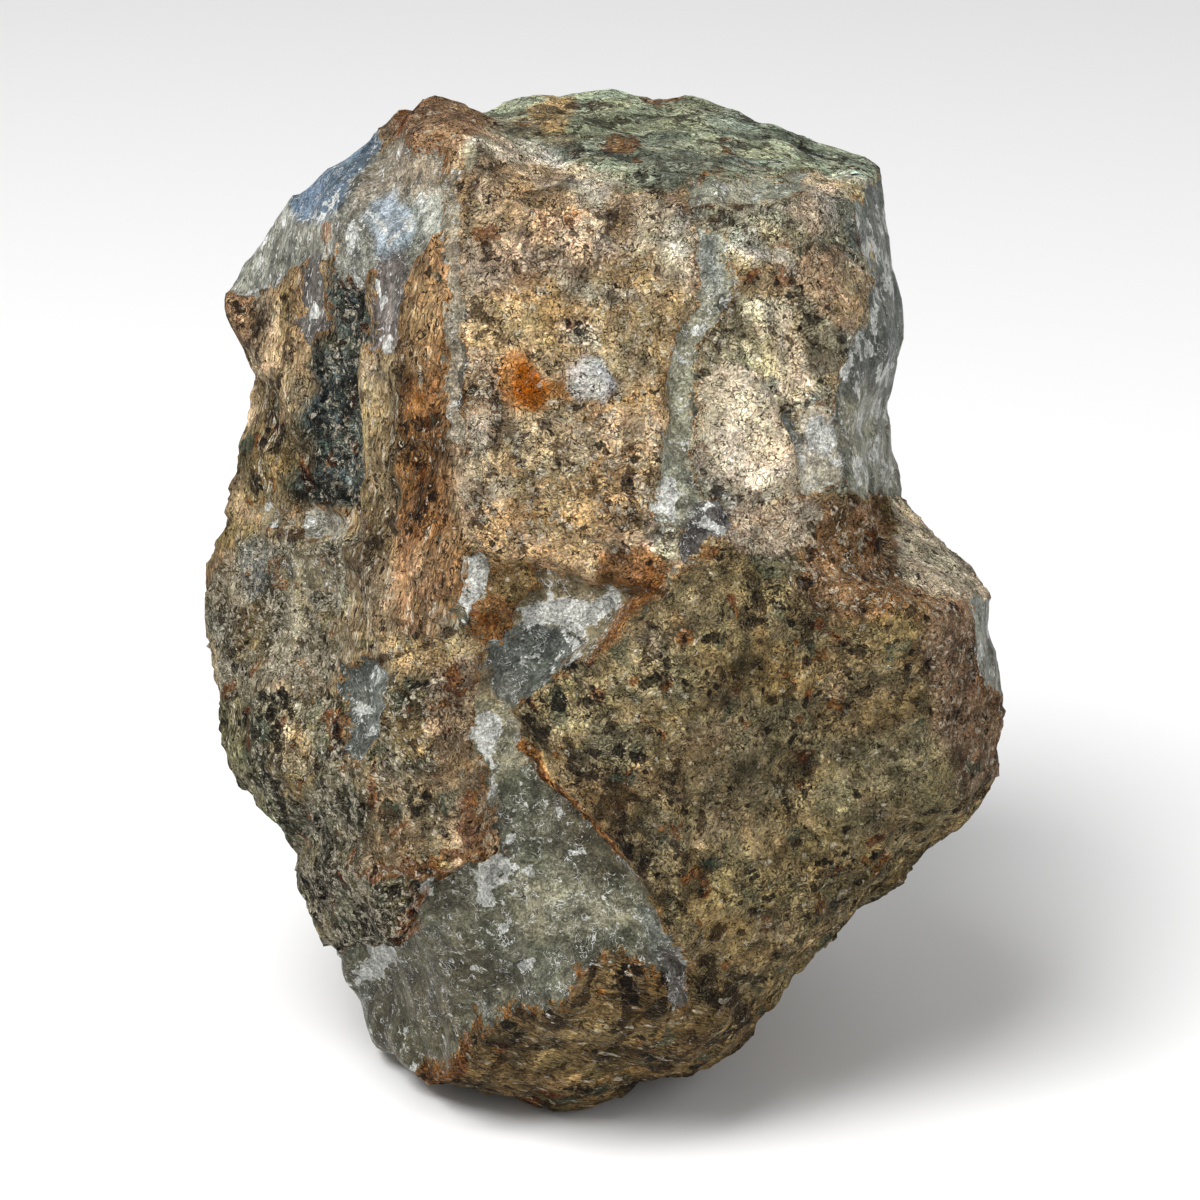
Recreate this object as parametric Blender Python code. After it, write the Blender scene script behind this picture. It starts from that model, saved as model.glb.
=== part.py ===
"""A blue lace agate geode: one rough, broken stone of angular host rock bound by seams of chalcedony.

The stone is worked out in its own sighted frame, in millimetres: X to the right, Y away from the
viewer and Z up, with the middle of the stone at the origin. It is then leaned back by LEAN, lowered
onto its flat spot and made in metres, Z up.
"""

from math import cos, radians, sin

import bmesh
import bpy
import numpy as np

# Driving dimensions, in millimetres and degrees.
LEAN = 20.0  # the stone is sighted from this far above the horizon
SIGHT_DISTANCE = 450.0  # from the viewer's eye to the middle of the stone
REST_DEPTH = 45.6  # from the middle of the stone down to the flat spot it rests on
REST_CENTRE = (-3.0, 3.0)  # a point near the flat spot's middle: across from and behind the stone's middle
EDGE_POWER = 60.0  # how crisp the edges between two fracture faces are
RIM_TAPER = 0.26  # how fast the stone narrows in front of its rim and behind it
SPHERE_STEPS = 7  # subdivisions of the ball that is pushed onto the stone
TRIANGLES = 7800  # faces kept where the form needs them
NEAR_FADE = 6.0  # the sighted side's relief runs out over this distance behind the middle

# The rim of the stone as sighted, anticlockwise from the right: across and up.
RIM = [
    (40.1, -13.5), (39.5, -4.0), (39.4, 0.3), (37.6, 3.3), (34.1, 7.0), (31.0, 9.7),
    (30.4, 13.3), (28.9, 19.0), (30.2, 23.5), (30.8, 26.5), (30.4, 30.9), (29.4, 35.9),
    (28.4, 43.1), (26.5, 44.6), (19.8, 46.2), (13.9, 48.5), (6.9, 49.7), (1.0, 51.2),
    (-8.1, 51.0), (-13.0, 49.0), (-17.1, 49.0), (-19.4, 47.6), (-22.4, 46.6), (-28.8, 45.3),
    (-31.2, 42.6), (-33.4, 36.5), (-35.9, 31.9), (-38.7, 31.4), (-37.5, 28.8), (-34.9, 24.8),
    (-33.6, 21.8), (-34.7, 18.3), (-36.9, 11.5), (-38.7, 5.0), (-40.0, 1.5), (-41.3, -2.6),
    (-39.0, -6.0), (-38.7, -13.2), (-35.6, -18.7), (-32.8, -21.1), (-29.0, -24.4),
    (-28.1, -29.8), (-27.1, -34.9), (-27.8, -42.7), (-24.8, -47.4), (-18.4, -47.3),
    (-15.2, -47.5), (-9.7, -48.1), (-4.4, -50.0), (-1.0, -49.5), (3.8, -46.4),
    (8.8, -46.3), (13.2, -44.0), (18.1, -38.7), (24.5, -32.6), (30.5, -26.6),
    (37.1, -21.6), (39.9, -17.7),
]
# How far in front of the stone's middle the rim runs, by angle round the rim in degrees.
RIM_DEPTH = [(-180, 3), (-135, 2), (-90, 7), (-45, 2), (0, 6), (40, 2), (90, -9), (125, 2), (180, 3)]

# Fracture faces: turn to the right of the viewer, tilt up, and a point on the face (across, away, up).
UPPER_FACES = {
    "crown": (8, 70, (5.0, -24.0, 41.0)),
    "tan_shoulder": (4, 40, (0.0, -29.0, 37.6)),
    "tan_front": (3, 12, (-2.0, -33.6, 22.0)),
    "tan_foot": (-2, -12, (-3.0, -35.8, 4.0)),
    "rust_flank": (-40, 4, (-13.6, -33.2, 20.0)),
    "ribbed_flank": (-53, 2, (-22.0, -25.5, 10.0)),
    "far_left": (-74, 3, (-34.6, -14.0, 15.0)),
    "left_lower": (-36, -16, (-20.0, -28.6, -12.0)),
    "left_heel": (-62, -28, (-31.0, -14.0, -18.0)),
    "hollow": (-8, -20, (-6.0, -30.5, -20.0)),
    "chin": (-22, -40, (-14.0, -24.0, -34.0)),
    "sole_front": (4, -56, (0.0, -19.0, -43.0)),
    "knob": (-40, 36, (-22.0, -23.0, 36.0)),
    "blue_shoulder": (-70, 42, (-31.0, -12.0, 38.0)),
    "right_upper": (22, 7, (14.0, -32.4, 20.0)),
    "right_edge": (54, 6, (26.0, -23.0, 22.0)),
    "right_side": (86, -12, (29.5, 0.0, 12.0)),
    "under_block": (24, -20, (14.0, -31.0, -10.0)),
}
BLOCK_FACES = {
    "block_front": (26, -18, (8.3, -37.5, -9.2)),
    "block_wedge": (-10, -20, (8.3, -37.5, -9.2)),
    "block_brow": (17, 27, (18.6, -35.8, 0.0)),
    "block_ledge": (48, 54, (35.0, -16.0, 3.2)),
    "block_right": (62, -10, (37.0, -18.0, -12.0)),
    "block_corner": (35, -42, (28.0, -19.0, -27.0)),
    "block_under": (18, -62, (15.0, -14.0, -41.5)),
    "block_upper_side": (-48, 42, (-1.4, -36.4, -4.6)),
    "block_lower_side": (-56, -28, (0.0, -31.8, -24.1)),
}
BACK_FACES = {
    "back": (166, 10, (4.0, 36.0, 6.0)),
    "back_middle": (-160, -6, (-12.0, 34.0, -4.0)),
    "back_upper": (-174, 46, (0.0, 27.0, 32.0)),
    "back_right": (118, 3, (28.5, 18.0, 5.0)),
    "back_right_low": (138, -30, (21.0, 24.0, -25.0)),
    "back_left": (-118, 10, (-31.5, 16.0, 8.0)),
    "back_left_low": (-134, -28, (-23.0, 23.0, -24.0)),
    "back_left_top": (-124, 48, (-22.0, 14.0, 36.0)),
    "back_low": (180, -34, (0.0, 31.0, -35.0)),
}

# Lumps of the broken surface: size across, height, and the seed of each layer.
LUMPS = [(17.0, 1.2, 11), (8.0, 0.9, 12), (4.0, 0.55, 13)]

# Pieces of host rock that stand out and seams that lie back: height, width of the edge, and the
# corners as sighted, across and up.
RELIEF = {
    "knob": (1.9, 4.5, [(-19.5, 48), (-15, 50), (-11, 46), (-11.5, 42), (-16, 41.5), (-20.5, 44)]),
    "grey_hollow": (-2.1, 2.4, [
        (-13, -17), (-10, -27), (-19, -28), (-19, -33), (-26.5, -35), (-25.5, -42), (-17, -46),
        (-12, -43.5), (-8, -40.5), (-2, -37.5), (5, -38), (9, -40), (6.5, -33), (2, -26.5),
        (-3, -20.5), (-9.5, -11.5),
    ]),
    "middle_seam": (-1.7, 2.2, [
        (-14.8, 4.5), (-5.5, 3.0), (5, 1), (9, 4), (6.5, 1.5), (-1, -5), (-9.5, -11.5), (-13, -17),
        (-14.5, -21), (-14.5, -12), (-12.5, -7), (-10.5, -2.5), (-8, 1),
    ]),
    "olive_piece": (1.2, 1.6, [
        (-22, -8.5), (-15, -8), (-14, -16), (-12, -20), (-10.3, -26.8), (-13, -27), (-23, -25.5), (-22, -15),
    ]),
    "black_strip": (-1.8, 2.0, [
        (-26.5, 32), (-24.5, 32), (-23, 28), (-24.2, 23.5), (-24.8, 6), (-32, 8), (-29, 22), (-27, 29),
    ]),
    "rust_rib": (1.0, 1.4, [
        (-17.5, 35.5), (-16, 36), (-15.3, 20), (-15, -2), (-20, -2), (-20, 20), (-19.5, 30),
    ]),
    "mottled_piece": (1.2, 1.6, [
        (-31, -24), (-24, -25.5), (-19.5, -28), (-19, -32), (-20.5, -34.5), (-26, -35.5), (-30, -32),
    ]),
    "bottom_piece": (0.8, 1.6, [
        (-17.5, -47), (-12, -44), (-8, -41), (-2, -38), (5, -38.5), (9, -40.5), (16, -42), (10, -50),
        (-6, -53), (-16, -50),
    ]),
    "cream_piece": (0.9, 1.4, [(10, 20), (16.5, 20), (18, 17), (20, 12.5), (18.5, 11), (14, 10), (10, 14)]),
    "green_seam": (-1.0, 1.6, [(8.5, 31), (12, 29), (9.8, 22), (10.5, 10), (5.5, 10), (6.5, 18), (7.5, 23)]),
}
WANDER = (5.0, 1.6, 21)  # how the edges of the pieces wander: size across, distance, seed


def normal_of(turn, tilt):
    """The direction that a face with this turn and tilt looks in."""
    turn, tilt = radians(turn), radians(tilt)
    return np.array([sin(turn) * cos(tilt), -cos(turn) * cos(tilt), sin(tilt)])


def steepness(directions, faces):
    """For each direction and face, one over the distance from the middle to that face."""
    rows = [
        directions @ normal_of(turn, tilt) / (normal_of(turn, tilt) @ np.array(point))
        for turn, tilt, point in faces.values()
    ]
    return np.clip(np.array(rows), 0.0, None)


def rim_steepness(directions):
    """The same for the rim: two cones, base to base, that carry the stone's outline."""
    across, away, up = directions.T
    angle = np.arctan2(up, across)
    corners = np.array(RIM)
    corner_angle = np.arctan2(corners[:, 1], corners[:, 0])
    order = np.argsort(corner_angle)
    corners = corners[order]
    corner_angle = corner_angle[order]
    start = (np.searchsorted(corner_angle, angle) - 1) % len(corners)
    a, b = corners[start], corners[(start + 1) % len(corners)]
    side = np.stack([b[:, 1] - a[:, 1], a[:, 0] - b[:, 0]], axis=1)
    reach = (side * a).sum(1) / (side[:, 0] * np.cos(angle) + side[:, 1] * np.sin(angle))
    depth_angle, depth = np.array(RIM_DEPTH, float).T
    ahead = np.interp(np.degrees(angle), depth_angle, depth)
    reach = reach * (1.0 - ahead / SIGHT_DISTANCE) * 2.0 ** (1.0 / EDGE_POWER)
    out, near = np.hypot(across, up), -away
    front = (out + RIM_TAPER * near) / (reach + RIM_TAPER * ahead)
    back = (out - RIM_TAPER * near) / (reach - RIM_TAPER * ahead)
    return np.clip(np.array([front, back]), 0.0, None)


def soft_largest(rows):
    """The largest of the rows at each point, with the change from one row to the next rounded."""
    return (rows**EDGE_POWER).sum(0) ** (1.0 / EDGE_POWER)


def stone_reach(directions):
    """How far the broken stone reaches from its middle in each direction."""
    shared = np.vstack([steepness(directions, BACK_FACES), rim_steepness(directions)])
    upper = soft_largest(np.vstack([steepness(directions, UPPER_FACES), shared]))
    block = soft_largest(np.vstack([steepness(directions, BLOCK_FACES), shared]))
    return soft_largest(np.array([1.0 / upper, 1.0 / block]))


def noise(points, size, seed):
    """Gradient noise between -1 and 1 whose lumps are about size across."""
    rng = np.random.default_rng(seed)
    slopes = rng.normal(size=(256, 3))
    slopes /= np.linalg.norm(slopes, axis=1)[:, None]
    shuffle = rng.permutation(256)
    cell = np.floor(points / size).astype(int)
    inside = points / size - cell
    blend = inside**3 * (inside * (inside * 6 - 15) + 10)
    total = np.zeros(len(points))
    for corner in np.ndindex(2, 2, 2):
        x, y, z = (cell + corner).T & 255
        slope = slopes[shuffle[(shuffle[(shuffle[x] + y) & 255] + z) & 255]]
        weight = np.prod(np.where(corner, blend, 1 - blend), axis=1)
        total += weight * ((inside - corner) * slope).sum(1)
    return total * 1.6


def lumps(points):
    """The uneven surface of the broken rock, in millimetres outwards."""
    return sum(height * noise(points, size, seed) for size, height, seed in LUMPS)


def inside_by(across, up, corners):
    """How far each point lies inside the outline with these corners: negative outside it."""
    corners = np.array(corners, float)
    nearest = np.full(len(across), np.inf)
    crossings = np.zeros(len(across), int)
    for (x0, y0), (x1, y1) in zip(corners, np.roll(corners, -1, axis=0)):
        run, rise = x1 - x0, y1 - y0
        along = np.clip(((across - x0) * run + (up - y0) * rise) / (run**2 + rise**2), 0.0, 1.0)
        nearest = np.minimum(nearest, np.hypot(across - x0 - along * run, up - y0 - along * rise))
        spans = (y0 > up) != (y1 > up)
        safe_rise = rise if rise else 1.0
        crossings += spans & (across < x0 + (up - y0) * run / safe_rise)
    return np.where(crossings % 2, nearest, -nearest)


def relief(points):
    """How far the pieces of rock stand out and the seams lie back on the sighted side."""
    across, away, up = points.T
    scale = 1.0 + away / SIGHT_DISTANCE
    size, distance, seed = WANDER
    across = across / scale + distance * noise(points, size, seed)
    up = up / scale + distance * noise(points, size, seed + 1)
    height = np.zeros(len(points))
    for rise, edge, corners in RELIEF.values():
        step = np.clip(inside_by(across, up, corners) / edge + 0.5, 0.0, 1.0)
        height += rise * step**2 * (3.0 - 2.0 * step)
    sighted = np.clip((NEAR_FADE - away) / NEAR_FADE, 0.0, 1.0)
    return height * sighted


def stone_points(directions):
    """The surface of the stone along each direction."""
    points = directions * stone_reach(directions)[:, None]
    return points + directions * (lumps(points) + relief(points))[:, None]


def leaned(points):
    """From the sighted frame to the standing one, in metres, with the flat spot at the origin."""
    lean = radians(LEAN)
    x, y, z = points.T
    standing = np.stack([x, y * cos(lean) + z * sin(lean), z * cos(lean) - y * sin(lean)], axis=1)
    return (standing - [REST_CENTRE[0], REST_CENTRE[1], -REST_DEPTH]) / 1000.0


def clear_scene():
    """Take every object out of the scene."""
    for obj in list(bpy.data.objects):
        bpy.data.objects.remove(obj)


def stone_material():
    """Rough brown host rock, the colour that most of the stone shows."""
    material = bpy.data.materials.new("host_rock")
    material.use_nodes = True
    shader = material.node_tree.nodes["Principled BSDF"]
    shader.inputs["Base Color"].default_value = (0.235, 0.165, 0.095, 1.0)
    shader.inputs["Roughness"].default_value = 0.8
    shader.inputs["Metallic"].default_value = 0.0
    return material


def rough_stone(collection):
    """A finely divided ball whose every corner is moved out to the broken surface."""
    bm = bmesh.new()
    bmesh.ops.create_icosphere(bm, subdivisions=SPHERE_STEPS, radius=1.0)
    directions = np.array([vertex.co[:] for vertex in bm.verts])
    directions /= np.linalg.norm(directions, axis=1)[:, None]
    for vertex, place in zip(bm.verts, leaned(stone_points(directions))):
        vertex.co = place
    mesh = bpy.data.meshes.new("geode")
    bm.to_mesh(mesh)
    bm.free()
    mesh.materials.append(stone_material())
    stone = bpy.data.objects.new("geode", mesh)
    collection.objects.link(stone)
    return stone


def thin_out(stone):
    """Merge the faces where the surface is plain, down to TRIANGLES in all."""
    modifier = stone.modifiers.new("fewer_faces", "DECIMATE")
    modifier.ratio = TRIANGLES / len(stone.data.polygons)
    bpy.context.view_layer.update()
    graph = bpy.context.evaluated_depsgraph_get()
    thinned = bpy.data.meshes.new_from_object(stone.evaluated_get(graph))
    stone.modifiers.clear()
    stone.data = thinned


def cut_flat_spot(stone):
    """Cut the underside off level at the floor and close it with one flat face."""
    bm = bmesh.new()
    bm.from_mesh(stone.data)
    everything = bm.verts[:] + bm.edges[:] + bm.faces[:]
    cut = bmesh.ops.bisect_plane(
        bm, geom=everything, plane_co=(0, 0, 0), plane_no=(0, 0, -1), clear_outer=True
    )
    border = [item for item in cut["geom_cut"] if isinstance(item, bmesh.types.BMEdge)]
    filled = bmesh.ops.holes_fill(bm, edges=border)
    bmesh.ops.triangulate(bm, faces=filled["faces"], ngon_method="BEAUTY")
    bm.to_mesh(stone.data)
    bm.free()


def main():
    clear_scene()
    parts = bpy.data.collections.new("agate_geode")
    bpy.context.scene.collection.children.link(parts)
    stone = rough_stone(parts)
    thin_out(stone)
    cut_flat_spot(stone)


main()
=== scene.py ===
# %% [markdown]
# A rough blue lace agate geode, about as big as a fist. It is one broken stone: angular lumps of
# brown host rock that were shattered long ago and glued together again by chalcedony, the waxy grey
# to blue stuff that agate is made of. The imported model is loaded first. It gives the stone's true
# place and size, and everything here is measured against it.

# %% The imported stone
from math import cos, radians, sin

import bpy
import numpy as np
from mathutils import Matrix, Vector


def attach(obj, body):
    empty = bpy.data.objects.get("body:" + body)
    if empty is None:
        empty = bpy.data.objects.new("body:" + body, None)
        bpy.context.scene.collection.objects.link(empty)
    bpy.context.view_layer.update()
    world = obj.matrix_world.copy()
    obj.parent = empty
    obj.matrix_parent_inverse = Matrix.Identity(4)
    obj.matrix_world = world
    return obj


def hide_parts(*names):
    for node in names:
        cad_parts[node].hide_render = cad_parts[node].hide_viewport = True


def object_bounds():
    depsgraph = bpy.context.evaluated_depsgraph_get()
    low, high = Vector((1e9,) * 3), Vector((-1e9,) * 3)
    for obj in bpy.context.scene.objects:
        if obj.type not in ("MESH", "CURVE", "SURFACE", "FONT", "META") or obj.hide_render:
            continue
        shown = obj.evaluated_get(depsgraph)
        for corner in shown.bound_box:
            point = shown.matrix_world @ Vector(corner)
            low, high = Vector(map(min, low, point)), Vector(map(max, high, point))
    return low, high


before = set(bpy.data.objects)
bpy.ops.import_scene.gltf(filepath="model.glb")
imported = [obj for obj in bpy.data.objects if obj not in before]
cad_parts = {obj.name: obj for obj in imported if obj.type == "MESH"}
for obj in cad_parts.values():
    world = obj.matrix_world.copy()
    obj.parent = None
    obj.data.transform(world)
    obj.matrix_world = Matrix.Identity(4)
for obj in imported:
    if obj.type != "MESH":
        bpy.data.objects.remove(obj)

PACKED_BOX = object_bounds()
print("packed box in metres:", PACKED_BOX)

# %% [markdown]
# The stone is worked out in its own sighted frame, in millimetres: X runs right, Y runs away from the
# viewer and Z runs up the picture, with the middle of the stone at the origin. The viewer looks down
# at it from LEAN degrees above the horizon. Working in the sighted frame makes it easy to put a seam
# where the eye sees it. At the very end the points are leaned back and set down on the floor.

# %% Driving dimensions, in millimetres and degrees
LEAN = 20.0  # the stone is sighted from this far above the horizon
SIGHT_DISTANCE = 450.0  # from the viewer's eye to the middle of the stone
REST_DEPTH = 45.6  # from the middle of the stone down to the flat spot it rests on
REST_CENTRE = (-3.0, 3.0)  # a point near the flat spot's middle: across from and behind the stone's middle
EDGE_POWER = 60.0  # how crisp the edges between two fracture faces are
RIM_TAPER = 0.26  # how fast the stone narrows in front of its rim and behind it
NEAR_FADE = 6.0  # the sighted side's relief runs out over this distance behind the middle

# The rim of the stone as sighted, anticlockwise from the right: across and up.
RIM = [
    (40.1, -13.5), (39.5, -4.0), (39.4, 0.3), (37.6, 3.3), (34.1, 7.0), (31.0, 9.7),
    (30.4, 13.3), (28.9, 19.0), (30.2, 23.5), (30.8, 26.5), (30.4, 30.9), (29.4, 35.9),
    (28.4, 43.1), (26.5, 44.6), (19.8, 46.2), (13.9, 48.5), (6.9, 49.7), (1.0, 51.2),
    (-8.1, 51.0), (-13.0, 49.0), (-17.1, 49.0), (-19.4, 47.6), (-22.4, 46.6), (-28.8, 45.3),
    (-31.2, 42.6), (-33.4, 36.5), (-35.9, 31.9), (-38.7, 31.4), (-37.5, 28.8), (-34.9, 24.8),
    (-33.6, 21.8), (-34.7, 18.3), (-36.9, 11.5), (-38.7, 5.0), (-40.0, 1.5), (-41.3, -2.6),
    (-39.0, -6.0), (-38.7, -13.2), (-35.6, -18.7), (-32.8, -21.1), (-29.0, -24.4),
    (-28.1, -29.8), (-27.1, -34.9), (-27.8, -42.7), (-24.8, -47.4), (-18.4, -47.3),
    (-15.2, -47.5), (-9.7, -48.1), (-4.4, -50.0), (-1.0, -49.5), (3.8, -46.4),
    (8.8, -46.3), (13.2, -44.0), (18.1, -38.7), (24.5, -32.6), (30.5, -26.6),
    (37.1, -21.6), (39.9, -17.7),
]
# How far in front of the stone's middle the rim runs, by angle round the rim in degrees.
RIM_DEPTH = [(-180, 3), (-135, 2), (-90, 7), (-45, 2), (0, 6), (40, 2), (90, -9), (125, 2), (180, 3)]

# Fracture faces: turn to the right of the viewer, tilt up, and a point on the face (across, away, up).
UPPER_FACES = {
    "crown": (8, 70, (5.0, -24.0, 41.0)),
    "tan_shoulder": (4, 40, (0.0, -29.0, 37.6)),
    "tan_front": (3, 12, (-2.0, -33.6, 22.0)),
    "tan_foot": (-2, -12, (-3.0, -35.8, 4.0)),
    "rust_flank": (-40, 4, (-13.6, -33.2, 20.0)),
    "ribbed_flank": (-53, 2, (-22.0, -25.5, 10.0)),
    "far_left": (-74, 3, (-34.6, -14.0, 15.0)),
    "left_lower": (-36, -16, (-20.0, -28.6, -12.0)),
    "left_heel": (-62, -28, (-31.0, -14.0, -18.0)),
    "hollow": (-8, -20, (-6.0, -30.5, -20.0)),
    "chin": (-22, -40, (-14.0, -24.0, -34.0)),
    "sole_front": (4, -56, (0.0, -19.0, -43.0)),
    "knob": (-40, 36, (-22.0, -23.0, 36.0)),
    "blue_shoulder": (-70, 42, (-31.0, -12.0, 38.0)),
    "right_upper": (22, 7, (14.0, -32.4, 20.0)),
    "right_edge": (54, 6, (26.0, -23.0, 22.0)),
    "right_side": (86, -12, (29.5, 0.0, 12.0)),
    "under_block": (24, -20, (14.0, -31.0, -10.0)),
}
BLOCK_FACES = {
    "block_front": (26, -18, (8.3, -37.5, -9.2)),
    "block_wedge": (-10, -20, (8.3, -37.5, -9.2)),
    "block_brow": (17, 27, (18.6, -35.8, 0.0)),
    "block_ledge": (48, 54, (35.0, -16.0, 3.2)),
    "block_right": (62, -10, (37.0, -18.0, -12.0)),
    "block_corner": (35, -42, (28.0, -19.0, -27.0)),
    "block_under": (18, -62, (15.0, -14.0, -41.5)),
    "block_upper_side": (-48, 42, (-1.4, -36.4, -4.6)),
    "block_lower_side": (-56, -28, (0.0, -31.8, -24.1)),
}
BACK_FACES = {
    "back": (166, 10, (4.0, 36.0, 6.0)),
    "back_middle": (-160, -6, (-12.0, 34.0, -4.0)),
    "back_upper": (-174, 46, (0.0, 27.0, 32.0)),
    "back_right": (118, 3, (28.5, 18.0, 5.0)),
    "back_right_low": (138, -30, (21.0, 24.0, -25.0)),
    "back_left": (-118, 10, (-31.5, 16.0, 8.0)),
    "back_left_low": (-134, -28, (-23.0, 23.0, -24.0)),
    "back_left_top": (-124, 48, (-22.0, 14.0, 36.0)),
    "back_low": (180, -34, (0.0, 31.0, -35.0)),
}
print("fracture faces:", len(UPPER_FACES) + len(BLOCK_FACES) + len(BACK_FACES))

# %% [markdown]
# A broken stone is mostly flat fracture faces that meet at blunt edges. For each direction from the
# middle, the surface is where the ray first meets a face. A high power sum takes the largest term but
# rounds the change from one face to the next, so every edge gets a small natural radius. Two such
# bodies, the upper mass and the proud lower-right block, are joined by taking the farther of the two.


# %% Fracture faces and rim
def normal_of(turn, tilt):
    """The direction a face looks in: (sin turn cos tilt, -cos turn cos tilt, sin tilt)."""
    turn, tilt = radians(turn), radians(tilt)
    return np.array([sin(turn) * cos(tilt), -cos(turn) * cos(tilt), sin(tilt)])


def steepness(directions, faces):
    """For direction d and face n through p: (d . n) / (p . n), one over the distance to the face."""
    rows = [
        directions @ normal_of(turn, tilt) / (normal_of(turn, tilt) @ np.array(point))
        for turn, tilt, point in faces.values()
    ]
    return np.clip(np.array(rows), 0.0, None)


def rim_steepness(directions):
    """One over the distance to two cones, base to base at the rim: (out +- taper near) / (reach +- taper ahead)."""
    across, away, up = directions.T
    angle = np.arctan2(up, across)
    corners = np.array(RIM)
    corner_angle = np.arctan2(corners[:, 1], corners[:, 0])
    order = np.argsort(corner_angle)
    corners = corners[order]
    start = (np.searchsorted(corner_angle[order], angle) - 1) % len(corners)
    a, b = corners[start], corners[(start + 1) % len(corners)]
    side = np.stack([b[:, 1] - a[:, 1], a[:, 0] - b[:, 0]], axis=1)
    reach = (side * a).sum(1) / (side[:, 0] * np.cos(angle) + side[:, 1] * np.sin(angle))
    ahead = rim_ahead(angle)
    reach = reach * (1.0 - ahead / SIGHT_DISTANCE) * 2.0 ** (1.0 / EDGE_POWER)
    out, near = np.hypot(across, up), -away
    front = (out + RIM_TAPER * near) / (reach + RIM_TAPER * ahead)
    back = (out - RIM_TAPER * near) / (reach - RIM_TAPER * ahead)
    return np.clip(np.array([front, back]), 0.0, None)


def rim_ahead(angle):
    """How far in front of the middle the rim runs at this angle: straight lines between RIM_DEPTH's values."""
    depth_angle, depth = np.array(RIM_DEPTH, float).T
    return np.interp(np.degrees(angle), depth_angle, depth)


def soft_largest(rows):
    """(a^p + b^p + ...)^(1/p): the largest of the rows, with the change between two rounded."""
    return (rows**EDGE_POWER).sum(0) ** (1.0 / EDGE_POWER)


def stone_reach(directions):
    """The farther of two bodies, each one over the largest steepness of its faces."""
    shared = np.vstack([steepness(directions, BACK_FACES), rim_steepness(directions)])
    upper = soft_largest(np.vstack([steepness(directions, UPPER_FACES), shared]))
    block = soft_largest(np.vstack([steepness(directions, BLOCK_FACES), shared]))
    return soft_largest(np.array([1.0 / upper, 1.0 / block]))


# %% [markdown]
# Two kinds of unevenness cover every broken face. Gradient noise gives soft lumps. Chips are what a
# hammer leaves: space is divided into random cells, and each cell gets its own small tilted plane, so
# the surface steps from one little flat to the next. Both are computed for all points at once, and
# their random tables come from fixed seeds.


# %% Lumps and chips
def random_table(seed):
    """A shuffled 0 to 255, and 256 random unit vectors to go with it."""
    rng = np.random.default_rng(seed)
    slopes = rng.normal(size=(256, 3))
    slopes /= np.linalg.norm(slopes, axis=1)[:, None]
    return rng.permutation(256), slopes


def cell_number(shuffle, cell):
    """A random number from 0 to 255 for each whole-numbered cell."""
    x, y, z = cell.T & 255
    return shuffle[(shuffle[(shuffle[x] + y) & 255] + z) & 255]


def noise(points, size, seed):
    """Gradient noise, about -1 to 1: each lattice corner's slope . offset, blended by 6t^5 - 15t^4 + 10t^3."""
    shuffle, slopes = random_table(seed)
    cell = np.floor(points / size).astype(int)
    inside = points / size - cell
    blend = inside**3 * (inside * (inside * 6 - 15) + 10)
    total = np.zeros(len(points))
    for corner in np.ndindex(2, 2, 2):
        slope = slopes[cell_number(shuffle, cell + corner)]
        weight = np.prod(np.where(corner, blend, 1 - blend), axis=1)
        total += weight * ((inside - corner) * slope).sum(1)
    return total * 1.6


def cells(points, size, seed):
    """Random cells about size across: the nearest cell's number, the offset from its middle, and how
    much farther the second-nearest middle is, all distances in units of size."""
    shuffle, slopes = random_table(seed)
    base = np.floor(points / size).astype(int)
    first = np.full(len(points), np.inf)
    second = first.copy()
    number = np.zeros(len(points), int)
    offset = np.zeros((len(points), 3))
    for step in np.ndindex(3, 3, 3):
        cell = base + np.array(step) - 1
        index = cell_number(shuffle, cell)
        away = points / size - (cell + 0.5 + 0.45 * slopes[index])
        distance = np.linalg.norm(away, axis=1)
        closer = distance < first
        second = np.where(closer, first, np.minimum(second, distance))
        first = np.where(closer, distance, first)
        number = np.where(closer, index, number)
        offset[closer] = away[closer]
    return number, offset, second - first


def chips(points, size, seed):
    """Little tilted flats: in each cell the height is offset . slope, with a random slope for the cell."""
    number, offset, _ = cells(points, size, seed)
    return (offset * random_table(seed + 1)[1][number]).sum(1)


# Lumps of the broken surface: size across, height, and the seed of each layer.
LUMPS = [(17.0, 1.2, 11), (8.0, 0.9, 12), (4.0, 0.55, 13)]


def lumps(points):
    """The uneven surface of the broken rock, in millimetres outwards: the sum of height x noise."""
    return sum(height * noise(points, size, seed) for size, height, seed in LUMPS)


# %% [markdown]
# The surface is carried by a grid: a cube's six sides are divided into squares, and every corner is
# pushed out along its ray. That has no poles, and the twelve cube edges are shared, so the skin is
# closed. The rays are bunched a little towards the viewer, where the stone is seen closest.

# %% The grid of rays
GRID = 127  # squares along each side of the cube
BUNCH = 0.22  # how much closer together the rays are on the sighted side


def cube_grid(count):
    """Whole-number corners of a count x count x count cube's skin, and its squares, all facing out."""
    i, j = np.meshgrid(np.arange(count), np.arange(count), indexing="ij")
    corners = [(0, 0), (1, 0), (1, 1), (0, 1)]
    squares = []
    for axis in range(3):
        for side in (0, count):
            ring = corners if side else corners[::-1]
            square = np.empty((count, count, 4, 3), int)
            for place, (di, dj) in enumerate(ring):
                square[:, :, place, axis] = side
                square[:, :, place, (axis + 1) % 3] = i + di
                square[:, :, place, (axis + 2) % 3] = j + dj
            squares.append(square.reshape(-1, 3))
    places = np.concatenate(squares)
    corner_points, index = np.unique(places, axis=0, return_inverse=True)
    return corner_points, index.reshape(-1, 4)


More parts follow.
